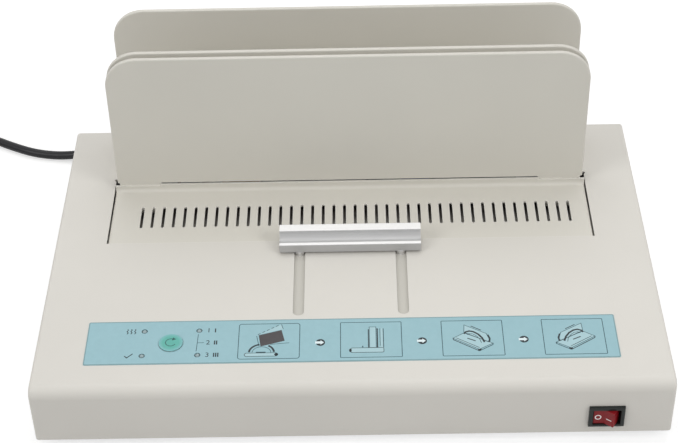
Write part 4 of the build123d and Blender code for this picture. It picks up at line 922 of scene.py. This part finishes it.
def make_strain_relief():
    """A ribbed sleeve in the back wall, turned aside and tapered towards the cord."""
    mesh = bmesh.new()
    rows = []
    for place, angle, radius in relief_stations():
        side = Vector((math.cos(angle), math.sin(angle), 0))
        row = []
        for i in range(RELIEF_SIDES):
            turn = 2 * math.pi * i / RELIEF_SIDES
            offset = side * radius * math.cos(turn) + Vector((0, 0, radius * math.sin(turn)))
            row.append(mesh.verts.new((place + offset) * MM))
        rows.append(row)
    for first, second in zip(rows, rows[1:]):
        for i in range(RELIEF_SIDES):
            j = (i + 1) % RELIEF_SIDES
            mesh.faces.new((first[i], first[j], second[j], second[i]))
    mesh.faces.new(rows[0])
    mesh.faces.new(rows[-1])
    piece = link_mesh("strain_relief", mesh)
    for polygon in piece.data.polygons:
        polygon.use_smooth = True
    piece.data.set_sharp_from_angle(angle=math.radians(RELIEF_SHARP_ANGLE))
    dress(piece, "housing", "plug_black")
    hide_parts("cord_bushing")
    return piece


# Cord: the route of its free stretch, as x and y from the relief's tip and the height over the
# table, and a coil that winds in on the table, climbs and winds out again above

CORD_RADIUS = 3.1
CORD_ROUTE = (
    (0, 0, 22),
    (-14.5, 3.9, 22),
    (-28.5, 7.6, 18),
    (-43, 11, 11.5),
    (-58, 14, 5.7),
    (-75, 15.9, 3.1),
    (-93, 19.3, 3.1),
    (-110.5, 27.7, 3.1),
    (-127, 37.6, 3.1),
    (-146, 44.8, 3.1),
    (-170, 47.9, 3.1),
    (-200.5, 46.2, 3.1),
)
COIL_HEADING = (-30, -3.6)
COIL_PITCH = 6.9
COIL_INNER_RADIUS = 31
COIL_SPIRAL_TURNS = 2.5
COIL_CLIMB_TURNS = 0.5
COIL_RETURN_TURNS = 2.25
COIL_CLIMB_END = COIL_SPIRAL_TURNS + COIL_CLIMB_TURNS
COIL_TURNS = COIL_CLIMB_END + COIL_RETURN_TURNS
COIL_CLIMB_DIP = 1.2
COIL_ENTRY_LEAD = 6.2
COIL_EXIT_LEAD = 16
COIL_POINTS_PER_TURN = 18
CORD_ROUNDNESS = 6
CORD_FINENESS = 8


def relief_tip():
    """The tip of the strain relief, where the cord leaves it."""
    turn = math.radians(RELIEF_TURN)
    elbow, taper = RELIEF_ELBOW_RADIUS, RELIEF_TAPER
    x, y, z = CORD_EXIT
    y += RELIEF_FLANGE + RELIEF_LEAD + elbow * math.sin(turn) + taper * math.cos(turn)
    x += elbow * (math.cos(turn) - 1) - taper * math.sin(turn)
    return Vector((x, y, z))


def coil_points():
    """The coil's own points, about its centre, from the outer end on the table to the upper end."""
    count = round(COIL_TURNS * COIL_POINTS_PER_TURN)
    reach = 1 / math.cos(math.pi / COIL_POINTS_PER_TURN)
    points = []
    for index in range(count + 1):
        turns = COIL_TURNS * index / count
        if turns < COIL_SPIRAL_TURNS:
            radius = COIL_INNER_RADIUS + COIL_PITCH * (COIL_SPIRAL_TURNS - turns)
            rise = 0
        elif turns < COIL_CLIMB_END:
            share = (turns - COIL_SPIRAL_TURNS) / COIL_CLIMB_TURNS
            radius = COIL_INNER_RADIUS - COIL_CLIMB_DIP * math.sin(math.pi * share)
            rise = COIL_PITCH * (1 - math.cos(math.pi * share)) / 2
        else:
            radius = COIL_INNER_RADIUS + COIL_PITCH * (turns - COIL_CLIMB_END)
            rise = COIL_PITCH
        angle = 2 * math.pi * turns
        x, y = radius * reach * math.cos(angle), radius * reach * math.sin(angle)
        points.append(Vector((x, y, CORD_RADIUS + rise)))
    return points


def spiral_way(turns, radius, growth):
    """The heading of the coil's spiral at a number of turns, for a radius that grows or shrinks."""
    angle = 2 * math.pi * turns
    out = Vector((math.cos(angle), math.sin(angle), 0))
    along = Vector((-math.sin(angle), math.cos(angle), 0))
    return (out * growth * COIL_PITCH + along * 2 * math.pi * radius).normalized()


def cord_points():
    """The cord's points from the relief's tip to the plug, in millimetres."""
    tip = relief_tip()
    route = [Vector((tip.x + x, tip.y + y, height)) for x, y, height in CORD_ROUTE]
    coil = coil_points()
    first_radius = COIL_INNER_RADIUS + COIL_PITCH * COIL_SPIRAL_TURNS
    last_radius = COIL_INNER_RADIUS + COIL_PITCH * COIL_RETURN_TURNS
    first_way = spiral_way(0, first_radius, -1)
    last_way = spiral_way(COIL_TURNS, last_radius, 1)
    angle = 2 * math.pi * COIL_TURNS
    coil[0] = Vector((first_radius, 0, CORD_RADIUS))
    coil[-1] = Vector((last_radius * math.cos(angle), last_radius * math.sin(angle), coil[-1].z))
    begin = coil[0] - first_way * COIL_ENTRY_LEAD
    coil += [coil[-1] + last_way * COIL_EXIT_LEAD / 2, coil[-1] + last_way * COIL_EXIT_LEAD]
    heading = Vector((*COIL_HEADING, 0)).normalized()
    turn = math.atan2(heading.y, heading.x) - math.atan2(first_way.y, first_way.x)
    spin = Matrix.Rotation(turn, 3, "Z")
    shift = route[-1] - spin @ begin
    return route + [spin @ point + shift for point in coil]


def make_cord():
    """The mains cord: free stretch and coil on one smooth line, from the sleeve to the plug."""
    points = cord_points()
    curve = bpy.data.curves.new("mains_cord", "CURVE")
    curve.dimensions = "3D"
    curve.bevel_depth = CORD_RADIUS * MM
    curve.bevel_resolution = CORD_ROUNDNESS
    curve.use_fill_caps = True
    spline = curve.splines.new("NURBS")
    spline.points.add(len(points) - 1)
    for target, point in zip(spline.points, points):
        target.co = (*(point * MM), 1.0)
    spline.order_u = 3
    spline.use_endpoint_u = True
    spline.resolution_u = CORD_FINENESS
    cord = link("mains_cord", curve)
    dress(cord, "housing", "cord_black")
    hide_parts("power_cord", "cord_coil")
    return cord


make_camera()
relief = make_strain_relief()
cord = make_cord()
tuple(relief_tip() * MM)
make_world()
make_floor()
make_lamps()
dress_nodes()
draw_label()
make_numbers()
draw_key()
make_rocker_marks()

bpy.context.scene.view_settings.view_transform = "Standard"
